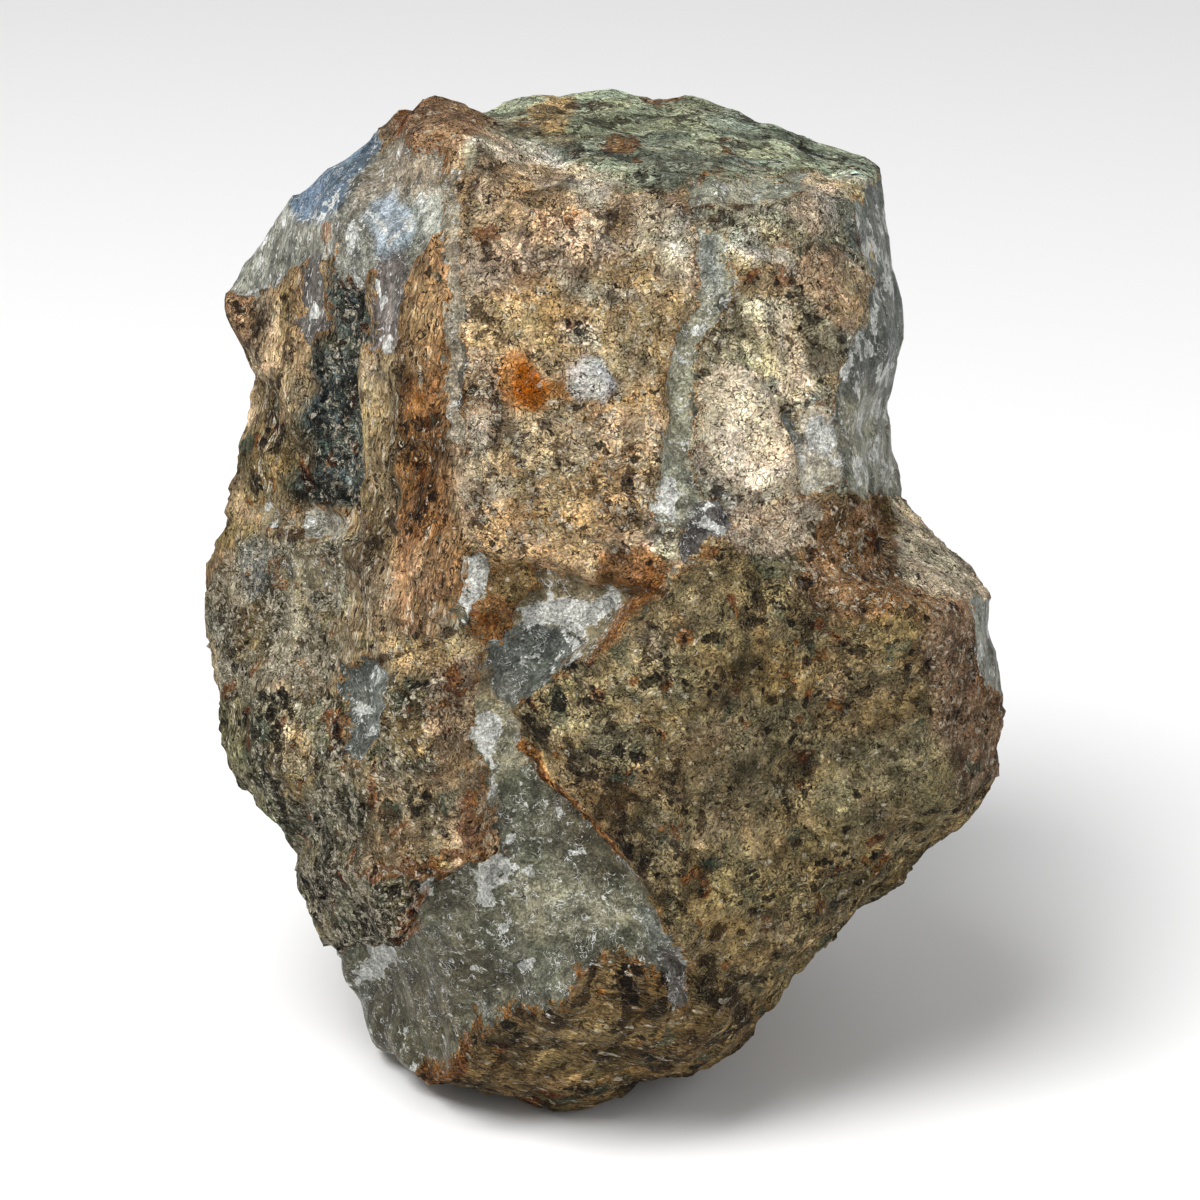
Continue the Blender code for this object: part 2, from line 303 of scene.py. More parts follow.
def grid_directions(corner_points, count):
    """tan(45 deg x c) on each side of the cube, shifted towards the viewer and made one long."""
    directions = np.tan((corner_points / count * 2 - 1) * np.pi / 4)
    directions /= np.linalg.norm(directions, axis=1)[:, None]
    directions[:, 1] -= BUNCH
    return directions / np.linalg.norm(directions, axis=1)[:, None]


corner_points, squares = cube_grid(GRID)
rays = grid_directions(corner_points, GRID)
reach = stone_reach(rays)
plain = rays * reach[:, None]
print("corners:", len(rays), "triangles:", 2 * len(squares))
print("the plain stone reaches from", reach.min().round(1), "to", reach.max().round(1), "mm")

# %% [markdown]
# What the eye sees on this side is a patchwork: rust-brown, olive and cream pieces of rock, and grey,
# white and blue seams between them. Each patch is a drawn outline, in tenths of a millimetre across
# and down the sighted picture, whose middle is (600, 600). Later patches lie over earlier ones. A
# patch has a colour, a height, and numbers for how stained, dark, pale or streaky the rock in it is.

# %% Colours of the rock and the seams
PALETTE = {
    "tan": (215, 187, 147), "bright_tan": (219, 187, 134), "golden_tan": (228, 192, 142),
    "pinkish_tan": (194, 169, 138), "left_tan": (175, 152, 116), "grey_beige": (153, 146, 121),
    "cream": (246, 232, 200), "peach": (238, 219, 186), "white_rock": (231, 217, 187),
    "olive": (183, 158, 118), "dark_olive": (130, 109, 72), "khaki": (152, 137, 101), "yellow_green": (183, 174, 142),
    "clast_brown": (196, 168, 134), "knob_brown": (165, 132, 100), "block_brown": (158, 138, 97),
    "red_brown": (160, 122, 84), "purple_brown": (155, 125, 96), "dark_brown": (132, 109, 72),
    "rust": (184, 146, 104), "deep_rust": (164, 120, 76), "orange": (204, 146, 88), "olive_brown": (157, 139, 102),
    "moss_grey": (118, 114, 88), "milk": (201, 192, 170), "black_green": (82, 91, 86),
    "gold": (186, 104, 28), "white": (246, 242, 230),
    "green_grey": (176, 185, 158), "dark_green": (112, 106, 82), "pink_white": (181, 159, 133),
    "grey": (143, 131, 103), "light_grey": (150, 149, 135), "white_grey": (157, 151, 126),
    "warm_grey": (164, 153, 132), "dark_grey": (108, 111, 103), "blue_grey": (127, 131, 122),
    "slate_blue": (112, 130, 146), "slate": (109, 105, 100), "smooth_grey": (117, 115, 97),
    "pale_blue": (179, 190, 198), "olive_grey": (110, 105, 84), "purple_grey": (131, 122, 115),
    "yellow_white": (195, 196, 183), "green_seam": (155, 154, 133),
}


LIT_BY = 1.35  # the palette is what the eye sees under the lamps, this much brighter than the bare colour
HAZE = 0.008  # the white surroundings gleam on every surface and add this much light


def bare(red, green, blue):
    """Screen values 0 to 255 as light values, less the haze, divided by how brightly the stone is lit."""
    value = np.array([red, green, blue]) / 255.0
    light = np.where(value <= 0.04045, value / 12.92, ((value + 0.055) / 1.055) ** 2.4)
    return np.maximum(light - HAZE, 0.003) / LIT_BY


print("colours:", len(PALETTE))

# %% Patches of the sighted side
ACCENTS = ("rust", "dark", "light", "green")
PATCHES = []


def rock(colour, outline, edge=0.8, height=0.0, grit=0.5, streak=0.0, pale=0.2, broken=0.4):
    """Add a piece of host rock: a colour, a height, and how gritty, how streaky (across when positive,
    along the ribs when negative), how flecked with pale and how broken into small pieces it is."""
    PATCHES.append({"kind": "rock", "colour": colour, "outline": outline, "edge": edge, "height": height,
                    "grit": grit, "streak": streak, "pale": pale, "broken": broken})


def seam(colour, outline, edge=0.8, height=0.0, grit=0.4, streak=0.0):
    """Add a seam of chalcedony."""
    PATCHES.append({"kind": "seam", "colour": colour, "outline": outline, "edge": edge, "height": height,
                    "grit": grit, "streak": streak, "pale": 0.5, "broken": 0.2})


def accent(kind, *outlines):
    """Add rust, dark, light or green spots that lie over whatever is under them."""
    PATCHES.extend({"kind": kind, "outline": outline} for outline in outlines)


def lines(kind, half_width, *paths):
    """Add rust, dark, light or green lines, each drawn through its points."""
    PATCHES.extend({"kind": kind, "outline": path, "half_width": half_width} for path in paths)


# %% The left mass
rock("left_tan", [(120, 40), (462, 40), (462, 420), (470, 640), (455, 810), (500, 1200), (120, 1200)],
     streak=-0.8, grit=0.5, pale=0.4)
rock("tan", [(238, 300), (290, 280), (300, 330), (285, 380), (255, 500), (215, 560), (200, 470)],
     streak=-1.0, edge=2.5, pale=0.4)
rock("rust", [(222, 480), (236, 482), (220, 560), (205, 600), (200, 560)], streak=-1.0, edge=1.5)
rock("block_brown", [(250, 430), (285, 400), (296, 500), (262, 512), (236, 500)], streak=-0.7, edge=1.5, grit=0.8)
rock("grey_beige", [
    (225, 545), (262, 536), (300, 545), (345, 530), (352, 600), (330, 630), (345, 650), (322, 690),
    (270, 680), (215, 700), (195, 640),
], edge=2.0, grit=0.6, pale=1.0, broken=0.9)
rock("khaki", [(232, 600), (260, 596), (268, 650), (240, 665)], grit=0.7, pale=0.8, broken=0.8, edge=1.5)
rock("block_brown", [(195, 520), (240, 515), (262, 536), (225, 548), (190, 590)], edge=1.5, streak=-0.5)
rock("moss_grey", [(195, 690), (300, 690), (345, 690), (350, 770), (304, 860), (235, 800), (205, 740)],
     grit=0.8, edge=1.5, pale=0.8, broken=0.7)
rock("moss_grey", [(198, 700), (240, 700), (262, 790), (300, 850), (262, 850), (215, 770)],
     streak=-0.8, edge=2.0, grit=0.8, pale=0.5)
rock("olive_brown", [(262, 700), (290, 700), (318, 770), (300, 830), (280, 800), (268, 750)],
     edge=1.5, grit=0.9, pale=0.5, broken=0.6)
rock("grey_beige", [(330, 760), (358, 770), (366, 850), (296, 850), (310, 800)], grit=0.8, pale=0.9, broken=0.8)

# %% The tan face and the rock to the right of it
rock("tan", [(455, 170), (540, 120), (690, 120), (712, 300), (675, 420), (662, 570), (470, 575), (461, 420)],
     pale=0.5, broken=0.8)
rock("pinkish_tan", [(462, 178), (600, 172), (640, 190), (620, 262), (520, 300), (465, 270)],
     edge=3.0, grit=0.5, pale=0.4, broken=0.9)
rock("clast_brown", [(476, 214), (510, 206), (524, 236), (508, 268), (480, 262)], edge=1.5, grit=0.7, broken=0.6)
rock("tan", [(596, 206), (628, 208), (634, 228), (610, 234)], edge=1.5, grit=0.7, broken=0.6)
rock("white_rock", [(640, 190), (690, 200), (700, 230), (690, 300), (664, 300), (636, 250)],
     edge=2.0, pale=0.3, grit=0.3, broken=0.7)
rock("white_rock", [(560, 176), (600, 182), (626, 200), (600, 210), (566, 200)], edge=2.0, grit=0.3, broken=0.7)
rock("tan", [(480, 152), (540, 150), (590, 166), (640, 186), (560, 180), (500, 172)], edge=1.5, grit=0.2)
rock("cream", [(462, 172), (480, 156), (510, 148), (548, 152), (590, 172), (620, 186), (616, 194), (585, 184),
               (545, 163), (510, 160), (484, 166), (468, 180)], edge=0.6, grit=0.2)
rock("bright_tan", [(500, 300), (640, 250), (690, 300), (670, 400), (620, 420), (560, 350), (480, 345)],
     edge=3.0, grit=0.4, pale=0.6, broken=0.5)
rock("cream", [(556, 268), (600, 280), (640, 300), (610, 306), (566, 292)], edge=2.0, pale=0.6)
rock("olive", [(470, 300), (530, 312), (570, 345), (520, 352), (480, 345)], edge=1.5, grit=0.8)
rock("white_rock", [(560, 320), (600, 330), (596, 352), (566, 348)], edge=1.5, grit=0.7)
rock("pinkish_tan", [(468, 345), (496, 352), (505, 410), (490, 440), (470, 430)], edge=1.5, pale=0.8)
rock("golden_tan", [(470, 470), (560, 420), (650, 450), (655, 520), (600, 540), (480, 545)],
     edge=2.5, pale=0.7, broken=0.9)
rock("golden_tan", [(600, 440), (655, 455), (650, 520), (612, 520)], edge=1.5, grit=0.7, pale=0.7, broken=0.9)
rock("yellow_green", [(686, 120), (930, 120), (930, 520), (655, 560), (672, 400), (705, 290)],
     grit=0.6, pale=0.6, broken=1.0)
rock("yellow_green", [(735, 185), (800, 190), (850, 200), (858, 235), (800, 252), (740, 245)],
     edge=1.5, pale=0.6, broken=0.8)
rock("peach", [(790, 176), (828, 178), (836, 222), (806, 236), (790, 210)], edge=1.0, pale=0.4)
rock("white_rock", [(740, 245), (790, 250), (800, 285), (760, 300), (738, 275)], edge=1.5, pale=0.5, broken=0.8)

# %% The proud block at the lower right
rock("block_brown", [
    (505, 715), (548, 690), (590, 650), (612, 622), (640, 610), (665, 585), (700, 560), (722, 530), (742, 508),
    (790, 500), (880, 498), (905, 470), (1040, 500), (1040, 1030), (700, 1060), (690, 1000), (665, 930),
    (650, 895), (620, 865), (600, 840), (570, 805), (545, 775), (520, 745),
], grit=0.7, broken=0.5, pale=0.2)
rock("olive_brown", [
    (505, 715), (590, 650), (660, 640), (685, 705), (680, 740), (672, 800), (680, 960), (665, 930), (650, 895),
    (620, 865), (600, 840), (570, 805), (545, 775), (520, 745),
], grit=0.95, edge=1.0, broken=0.5, pale=0.2)
rock("block_brown", [(600, 670), (650, 655), (682, 705), (676, 760), (650, 800), (640, 740), (610, 715)],
     edge=2.0, grit=0.6, broken=0.4, pale=0.4)
rock("olive_brown", [(690, 720), (760, 740), (800, 800), (760, 860), (700, 850), (680, 790)],
     edge=3.0, grit=0.5, broken=0.5, pale=0.3)
rock("khaki", [(830, 740), (900, 745), (905, 820), (850, 850), (815, 800)], edge=3.0, grit=0.5, broken=0.5, pale=0.3)
rock("block_brown", [(690, 860), (790, 850), (900, 840), (990, 800), (860, 960), (700, 1060), (690, 1000)],
     grit=0.7, edge=3.0, pale=0.3, broken=0.5)
rock("khaki", [(900, 740), (960, 720), (975, 790), (930, 830), (890, 800)], edge=4.0, grit=0.6, pale=0.2)
rock("purple_brown", [(925, 600), (1010, 590), (1015, 780), (960, 800), (930, 720)], grit=0.6, edge=2.5, pale=0.6)
rock("red_brown", [
    (800, 530), (815, 500), (880, 500), (905, 555), (925, 605), (860, 622), (810, 610), (780, 570),
], grit=0.6, edge=2.0, pale=0.7)
rock("pink_white", [(728, 505), (800, 498), (822, 512), (800, 545), (760, 560), (722, 540)],
     edge=1.0, pale=0.9, broken=0.8)
rock("peach", [(897, 490), (950, 530), (1010, 575), (1010, 600), (975, 596), (930, 592), (903, 578)],
     height=-0.2, grit=0.5, pale=0.5, broken=0.4)
accent("green", [(744, 556), (800, 556), (804, 576), (760, 580)], [(634, 772), (646, 772), (646, 788), (634, 788)],
       [(786, 828), (798, 830), (796, 842), (786, 842)], [(966, 758), (980, 758), (978, 774), (968, 774)],
       [(606, 650), (626, 644), (630, 664), (612, 668)], [(890, 640), (912, 636), (908, 652), (892, 654)])

# %% The crown, the knob beside it and the dark piece at the bottom
rock("green_grey", [
    (470, 40), (920, 40), (905, 165), (872, 174), (840, 166), (800, 166), (750, 173), (680, 179), (640, 184),
    (600, 171), (575, 161), (540, 146), (488, 135),
], streak=1.0, grit=0.6, pale=0.2, broken=0.4)
rock("grey_beige", [(480, 120), (536, 116), (575, 140), (600, 160), (575, 161), (540, 146), (488, 135)],
     streak=0.8, edge=1.5, grit=0.8)
rock("bright_tan", [(536, 104), (566, 102), (571, 124), (550, 131), (538, 120)], pale=0.3)
accent("rust", [(600, 138), (634, 136), (640, 150), (610, 152)], [(644, 94), (676, 92), (680, 102), (650, 104)],
       [(720, 150), (740, 148), (738, 158)])
rock("knob_brown", [(395, 130), (412, 95), (432, 90), (460, 108), (496, 136), (470, 160), (446, 180), (400, 158)],
     height=0.3, pale=0.4)
rock("dark_brown", [
    (405, 1075), (430, 1060), (480, 1035), (520, 1005), (560, 995), (580, 975), (610, 970), (650, 980),
    (690, 1000), (760, 1000), (790, 1010), (700, 1130), (540, 1150), (420, 1120),
], streak=0.6, grit=0.8, height=0.3, pale=0.3, broken=0.6)
rock("dark_brown", [(500, 1050), (580, 1005), (650, 1000), (640, 1040), (580, 1080), (520, 1090)],
     streak=0.6, edge=2.0, grit=0.6, broken=0.6, pale=0.4)
accent("rust", [(400, 120), (412, 102), (424, 118), (418, 150), (404, 150)], [(436, 152), (452, 160), (446, 176)],
       [(416, 1070), (450, 1045), (476, 1042), (460, 1076), (430, 1090)], [(496, 1085), (540, 1090), (530, 1106)])
lines("light", 0.3, [(520, 1080), (560, 1040), (600, 1015)], [(560, 1085), (600, 1050), (640, 1030)],
      [(463, 165), (500, 160), (545, 163), (577, 166)])
lines("dark", 0.3, [(480, 1070), (520, 1035), (560, 1012)], [(590, 1070), (640, 1010), (660, 990)],
      [(640, 120), (700, 116)], [(700, 146), (770, 140)], [(590, 126), (632, 122)], [(740, 112), (790, 124)],
      [(800, 146), (850, 158)], [(560, 112), (600, 108)], [(430, 1088), (470, 1060)], [(540, 1100), (600, 1078)],
      [(650, 1060), (700, 1030)], [(600, 1100), (660, 1084)])

# %% The seams of chalcedony, from the upper left round to the right
seam("yellow_white", [
    (392, 110), (350, 130), (290, 170), (215, 255), (205, 330), (232, 300), (262, 300), (300, 268), (335, 262),
    (345, 215), (372, 165),
], height=-0.1, streak=-0.7)
seam("light_grey", [(245, 225), (300, 210), (330, 225), (318, 262), (262, 290), (215, 320), (212, 280)],
     edge=2.0, streak=-0.7)
seam("slate_blue", [
    (290, 195), (300, 150), (360, 118), (378, 140), (368, 150), (350, 178), (335, 205), (318, 216), (298, 212),
], height=-0.5, grit=0.1)
seam("light_grey", [
    (346, 178), (372, 160), (400, 152), (446, 180), (440, 235), (425, 250), (402, 290), (398, 345), (376, 350),
    (374, 262), (352, 290), (336, 275), (338, 215),
], height=-0.3)
seam("warm_grey", [(372, 160), (400, 152), (446, 180), (440, 200), (400, 190), (376, 196), (352, 210), (348, 180)],
     edge=1.5)
seam("pale_blue", [(364, 214), (374, 200), (398, 196), (412, 212), (402, 240), (384, 258), (372, 246)], grit=0.1)
seam("yellow_white", [(415, 200), (438, 196), (446, 215), (436, 240), (418, 236)])
seam("purple_grey", [(374, 262), (400, 262), (399, 345), (390, 360), (376, 352)], height=-0.4, streak=-0.5)
seam("warm_grey", [(447, 190), (461, 178), (462, 260), (463, 350), (461, 445), (452, 445), (448, 350), (444, 270)])
seam("slate", [(304, 262), (322, 258), (324, 310), (312, 345), (300, 335)], height=-0.3, streak=-0.6)
seam("milk", [(290, 508), (306, 496), (326, 512), (330, 538), (312, 530), (296, 534)], height=-0.2)
seam("warm_grey", [(338, 490), (362, 484), (384, 500), (376, 528), (350, 530)], height=-0.2)
seam("grey", [(252, 512), (276, 500), (286, 520), (262, 532)])
seam("grey", [(270, 560), (300, 554), (340, 566), (326, 588), (290, 584)], edge=2.0)
seam("green_seam", [
    (702, 225), (722, 222), (732, 260), (730, 292), (716, 318), (700, 352), (697, 385), (694, 420), (702, 470),
    (708, 505), (690, 530), (655, 520), (662, 480), (668, 420), (675, 370), (681, 320), (700, 290),
], height=-0.3)
seam("blue_grey", [(703, 232), (720, 230), (726, 262), (720, 290), (706, 286), (700, 255)], edge=1.5)
seam("slate", [(698, 508), (716, 500), (735, 512), (726, 530), (700, 545), (684, 560), (668, 575), (672, 548)], grit=0.2)
seam("green_seam", [(690, 178), (740, 176), (800, 170), (806, 186), (770, 198), (735, 196), (692, 206)], height=-0.1)
seam("milk", [(772, 250), (784, 246), (786, 268), (776, 276)])
seam("blue_grey", [(778, 408), (790, 412), (806, 440), (800, 466), (788, 450)], height=-0.4)
seam("milk", [
    (803, 414), (826, 408), (846, 440), (848, 480), (826, 494), (802, 494), (796, 470), (808, 446),
])
seam("dark_grey", [
    (862, 190), (884, 160), (930, 180), (930, 500), (900, 498), (850, 492), (840, 440), (838, 400), (852, 340),
    (868, 320), (872, 260), (862, 220),
], height=-0.3)
seam("green_seam", [(846, 400), (880, 380), (905, 440), (905, 496), (850, 492)], edge=2.5)
seam("light_grey", [(968, 598), (1020, 590), (1020, 700), (990, 690), (972, 640)])
seam("grey", [
    (452, 558), (484, 556), (545, 570), (600, 585), (650, 590), (692, 560), (665, 586), (640, 611), (590, 651),
    (505, 716), (520, 745), (545, 778), (520, 800), (497, 868), (480, 812), (464, 770), (462, 715), (474, 668),
    (482, 640), (450, 612),
], height=-0.2)
seam("dark_grey", [(484, 640), (512, 628), (546, 632), (572, 650), (560, 676), (530, 700), (500, 712), (484, 690)],
     grit=0.5)
seam("white_grey", [(466, 712), (500, 716), (524, 752), (500, 770), (512, 800), (486, 815), (470, 770)])
seam("smooth_grey", [
    (490, 805), (512, 778), (545, 776), (570, 806), (600, 841), (620, 866), (650, 896), (665, 931), (690, 1001),
    (650, 981), (610, 971), (580, 976), (560, 996), (520, 1006), (480, 1036), (430, 1061), (405, 1085),
    (330, 1040), (310, 955), (345, 955), (395, 945), (410, 920), (405, 880), (497, 868),
], height=-0.2)
seam("olive_grey", [(330, 975), (400, 955), (470, 960), (500, 1000), (430, 1061), (405, 1085), (330, 1040)],
     edge=2.0)
seam("white_grey", [(506, 905), (560, 896), (620, 912), (636, 940), (600, 956), (540, 962), (506, 945)], edge=2.0)
seam("olive_grey", [(560, 800), (600, 850), (630, 890), (600, 900), (560, 860)], edge=2.0)
seam("blue_grey", [(640, 925), (664, 940), (684, 960), (690, 1003), (670, 1000), (652, 965)])
seam("slate", [(664, 958), (676, 960), (688, 1000), (674, 1000)])
accent("light",
       [(452, 562), (478, 558), (484, 580), (472, 612), (456, 604)],
       [(512, 606), (545, 598), (600, 596), (632, 600), (606, 622), (560, 628), (520, 628)],
       [(548, 624), (566, 620), (582, 636), (572, 664), (560, 650)],
       [(464, 728), (486, 724), (492, 748), (482, 790), (472, 765)],
       [(470, 880), (492, 870), (510, 882), (504, 900), (488, 912), (486, 930), (468, 928), (466, 905)],
       [(352, 966), (376, 962), (384, 985), (370, 1000), (356, 992)],
       [(655, 480), (672, 470), (684, 490), (676, 512), (662, 508)], [(812, 424), (830, 420), (838, 450), (816, 462)],
       [(382, 356), (392, 356), (390, 340), (382, 336)])
# Light lines in the seams; the short dashes among them are painted glints on the chalcedony's sugary crystals.
lines("light", 0.35, [(365, 205), (374, 222), (386, 243), (396, 234), (413, 208)],
      [(512, 752), (530, 745), (548, 778)], [(890, 205), (893, 228)], [(880, 300), (878, 325)],
      [(888, 360), (886, 376)], [(868, 232), (873, 250)], [(884, 246), (889, 262)], [(872, 268), (875, 284)],
      [(893, 270), (891, 288)], [(866, 330), (860, 346)], [(878, 338), (874, 352)], [(852, 356), (846, 372)],
      [(868, 372), (866, 392)], [(884, 396), (886, 412)], [(862, 410), (866, 430)], [(876, 440), (878, 456)],
      [(888, 466), (886, 484)], [(858, 462), (862, 480)], [(300, 215), (318, 206), (332, 190)], [(240, 262), (262, 235)], [(345, 250), (352, 225)])
lines("dark", 0.3, [(560, 640), (575, 648), (586, 650)], [(548, 780), (560, 790), (572, 808)],
      [(378, 150), (362, 158), (348, 184), (334, 206)])

# %% Pieces of rock that lie in the seams or over the large masses
rock("knob_brown", [(222, 300), (252, 300), (262, 330), (250, 360), (228, 345)], height=0.5, grit=0.8)
rock("rust", [
    (432, 236), (446, 250), (447, 400), (452, 520), (462, 560), (458, 600), (430, 640), (404, 640), (398, 560),
    (400, 420), (404, 300), (422, 250),
], height=0.3, streak=-0.8, pale=0.3)
rock("deep_rust", [(404, 370), (445, 380), (455, 520), (440, 545), (402, 540)], grit=0.8, streak=-0.7, edge=2.0,
     pale=0.3)
rock("black_green", [
    (336, 275), (352, 277), (358, 292), (372, 320), (370, 345), (360, 385), (353, 422), (353, 470), (348, 500),
    (290, 492), (296, 432), (312, 370), (324, 330), (334, 282),
], grit=0.9, height=-0.4, pale=0.7, broken=0.9)
accent("dark", [(336, 284), (350, 288), (350, 300), (340, 304)], [(334, 356), (352, 352), (352, 380), (336, 384)],
       [(322, 400), (334, 396), (336, 420), (322, 424)],
       [(292, 474), (312, 466), (318, 486), (348, 478), (350, 500), (292, 494)])
rock("olive", [(358, 350), (398, 352), (402, 500), (396, 560), (352, 520), (356, 400)], streak=-0.7, pale=0.5)
rock("left_tan", [(360, 345), (388, 352), (386, 390), (362, 380)], streak=-0.7, pale=0.6, edge=1.5)
rock("dark_olive", [(266, 380), (288, 372), (292, 440), (270, 505), (256, 490), (258, 440)],
     grit=0.9, streak=-0.7, edge=1.5, pale=0.6)
rock("left_tan", [(356, 562), (402, 556), (402, 640), (372, 640), (350, 610)], streak=-0.6, edge=2.0, pale=0.6)
rock("rust", [(402, 560), (450, 570), (456, 610), (402, 622)], streak=-0.6, edge=2.0, pale=0.5)
rock("bright_tan", [(372, 640), (430, 630), (470, 626), (478, 655), (440, 668), (395, 668)],
     grit=0.4, pale=0.6, edge=1.5)
rock("khaki", [
    (378, 684), (410, 676), (445, 668), (448, 768), (460, 778), (476, 812), (484, 850), (486, 870), (470, 872),
    (370, 870), (362, 770), (376, 740),
], height=0.3, grit=0.8, pale=0.8, broken=0.8)
rock("olive", [(372, 770), (440, 770), (462, 820), (450, 860), (372, 860)], grit=0.9, edge=2.0, pale=0.5, broken=0.7)
rock("clast_brown", [
    (436, 668), (462, 655), (468, 700), (466, 764), (478, 790), (490, 830), (500, 872), (470, 880), (456, 830),
    (444, 790), (452, 740), (440, 712),
], grit=0.6, pale=0.3)
accent("rust", [(440, 664), (458, 660), (458, 705), (444, 700)],
       [(460, 790), (470, 790), (486, 838), (492, 868), (476, 866), (464, 826)],
       [(372, 858), (430, 852), (496, 864), (480, 876), (372, 874)], [(322, 706), (338, 704), (344, 735), (328, 745)],
       [(322, 218), (331, 216), (333, 246), (324, 250)], [(300, 770), (308, 772), (300, 800)])
accent("green", [(384, 690), (410, 684), (412, 706), (390, 710)], [(374, 745), (390, 740), (388, 756), (376, 758)],
       [(210, 616), (230, 614), (230, 632), (214, 632)], [(440, 784), (456, 780), (460, 800), (444, 806)],
       [(322, 870), (344, 864), (350, 886), (330, 894)], [(300, 700), (316, 690), (326, 706), (312, 720)],
       [(392, 636), (410, 632), (410, 650), (396, 652)])
seam("dark_grey", [
    (342, 664), (362, 656), (388, 676), (392, 700), (383, 726), (366, 760), (352, 764), (346, 712), (338, 690),
], height=-0.4, grit=0.6)
accent("light", [(350, 706), (362, 700), (364, 712), (354, 718)], [(368, 670), (378, 674), (376, 686), (368, 684)])
rock("dark_green", [
    (296, 846), (362, 855), (376, 876), (406, 880), (412, 922), (394, 946), (340, 956), (322, 938), (292, 905),
], height=0.3, grit=1.0, pale=1.0, broken=0.9)
accent("rust", [(296, 912), (318, 925), (336, 950), (318, 960), (290, 930)],
       [(402, 905), (414, 905), (412, 945), (394, 952)], [(345, 950), (372, 946), (376, 956), (348, 960)])
accent("dark", [(322, 868), (342, 864), (346, 882), (330, 892)], [(366, 534), (384, 534), (386, 556), (368, 558)],
       [(334, 792), (348, 790), (350, 822), (338, 826)], [(282, 524), (306, 522), (306, 540), (286, 546)],
       [(214, 610), (228, 608), (230, 628), (216, 628)], [(372, 890), (396, 890), (396, 920), (376, 924)])
rock("dark_brown", [
    (488, 558), (522, 556), (543, 570), (541, 590), (520, 599), (506, 604), (486, 598), (483, 574),
], height=0.4, pale=0.2, broken=0.3)
rock("deep_rust", [(470, 602), (486, 596), (508, 602), (506, 622), (500, 636), (484, 640), (468, 628)], height=0.3)
rock("deep_rust", [(600, 556), (640, 548), (661, 566), (655, 586), (620, 591), (602, 580)], height=0.4)
accent("rust", [(474, 610), (496, 610), (496, 628), (476, 628)], [(638, 562), (654, 566), (652, 582), (638, 582)])
rock("golden_tan", [(478, 528), (600, 524), (604, 552), (560, 562), (480, 560)], edge=1.5, pale=0.7)
rock("orange", [
    (505, 362), (516, 359), (531, 368), (542, 382), (560, 388), (574, 384), (572, 396), (548, 400), (534, 408),
    (520, 411), (508, 402), (504, 382),
], pale=0.2, broken=0.3, grit=0.3)
rock("gold", [(520, 372), (536, 380), (545, 396), (534, 404), (522, 398)], edge=1.0, pale=0.2, broken=0.2, grit=0.2)
rock("white", [(574, 374), (584, 362), (600, 366), (614, 384), (603, 402), (582, 403), (573, 392)],
     pale=0.4, broken=0.1, grit=0.1)
rock("cream", [(466, 416), (482, 414), (486, 440), (470, 446)], edge=1.5, pale=0.8)
accent("rust", [(598, 496), (610, 494), (615, 508), (604, 517)], [(556, 214), (568, 214), (570, 230), (558, 232)],
       [(775, 278), (790, 280), (788, 292), (774, 290)], [(734, 716), (748, 714), (750, 728), (738, 728)],
       [(640, 580), (664, 574), (656, 588), (640, 600), (618, 618), (628, 600)],
       [(700, 545), (714, 540), (708, 556), (692, 562)], [(826, 700), (840, 696), (842, 712), (830, 714)],
       [(820, 650), (830, 646), (832, 658), (822, 660)])
rock("orange", [(510, 738), (520, 746), (545, 774), (572, 806), (600, 838), (618, 860), (612, 864), (590, 842),
                (560, 808), (532, 776), (512, 752)], edge=0.5, grit=0.3)
rock("orange", [(592, 646), (620, 616), (660, 582), (664, 588), (626, 624), (598, 654)], edge=0.5, grit=0.3)
lines("rust", 0.4, [(516, 752), (540, 776), (566, 806), (590, 836), (612, 862)], [(590, 651), (622, 618), (662, 582)])
accent("dark", [(487, 398), (503, 400), (502, 414), (488, 414)], [(470, 292), (486, 294), (484, 312), (470, 312)],
       [(608, 216), (618, 212), (624, 224), (612, 228)], [(508, 264), (520, 264), (522, 278), (510, 280)],
       [(914, 640), (930, 638), (928, 654), (916, 654)], [(962, 648), (976, 648), (974, 664), (964, 660)],
       [(898, 664), (912, 666), (910, 680), (898, 676)], [(700, 820), (714, 818), (716, 832), (702, 834)],
       [(846, 640), (856, 640), (856, 650), (846, 650)], [(804, 630), (814, 630), (814, 642), (806, 640)],
       [(602, 770), (622, 768), (634, 796), (630, 830), (616, 845), (604, 815)],
       [(748, 616), (766, 614), (764, 628), (750, 630)], [(778, 686), (792, 688), (790, 702), (778, 702)],
       [(858, 684), (874, 686), (872, 698), (858, 696)], [(774, 780), (786, 782), (788, 792), (774, 792)],
       [(700, 960), (712, 956), (716, 1000), (704, 1004)], [(616, 842), (630, 846), (630, 858), (618, 858)],
       [(712, 208), (730, 206), (734, 224), (716, 228)], [(756, 200), (768, 202), (764, 212)],
       [(708, 296), (722, 294), (724, 308), (712, 310)], [(636, 650), (648, 648), (650, 660), (638, 662)],
       [(728, 985), (744, 990), (740, 1012), (726, 1006)], [(564, 740), (580, 742), (578, 756), (566, 756)])
# Dark lines. The one down at 400 across is painted shade in the crevice beside the raised rust rib; the others are
# thin dark lines in the rock.
lines("dark", 0.3, [(461, 335), (462, 405)], [(401, 350), (401, 420), (399, 530)],
      [(358, 669), (400, 655), (430, 640), (468, 623)], [(495, 420), (492, 470), (480, 500), (480, 530)],
      [(360, 770), (358, 800), (364, 835)], [(300, 860), (286, 800), (262, 760)], [(700, 970), (720, 1000), (740, 1010)],
      [(525, 762), (552, 792), (578, 826), (600, 852)], [(266, 300), (258, 360), (240, 450), (224, 520)],
      [(285, 300), (290, 350), (268, 440)])
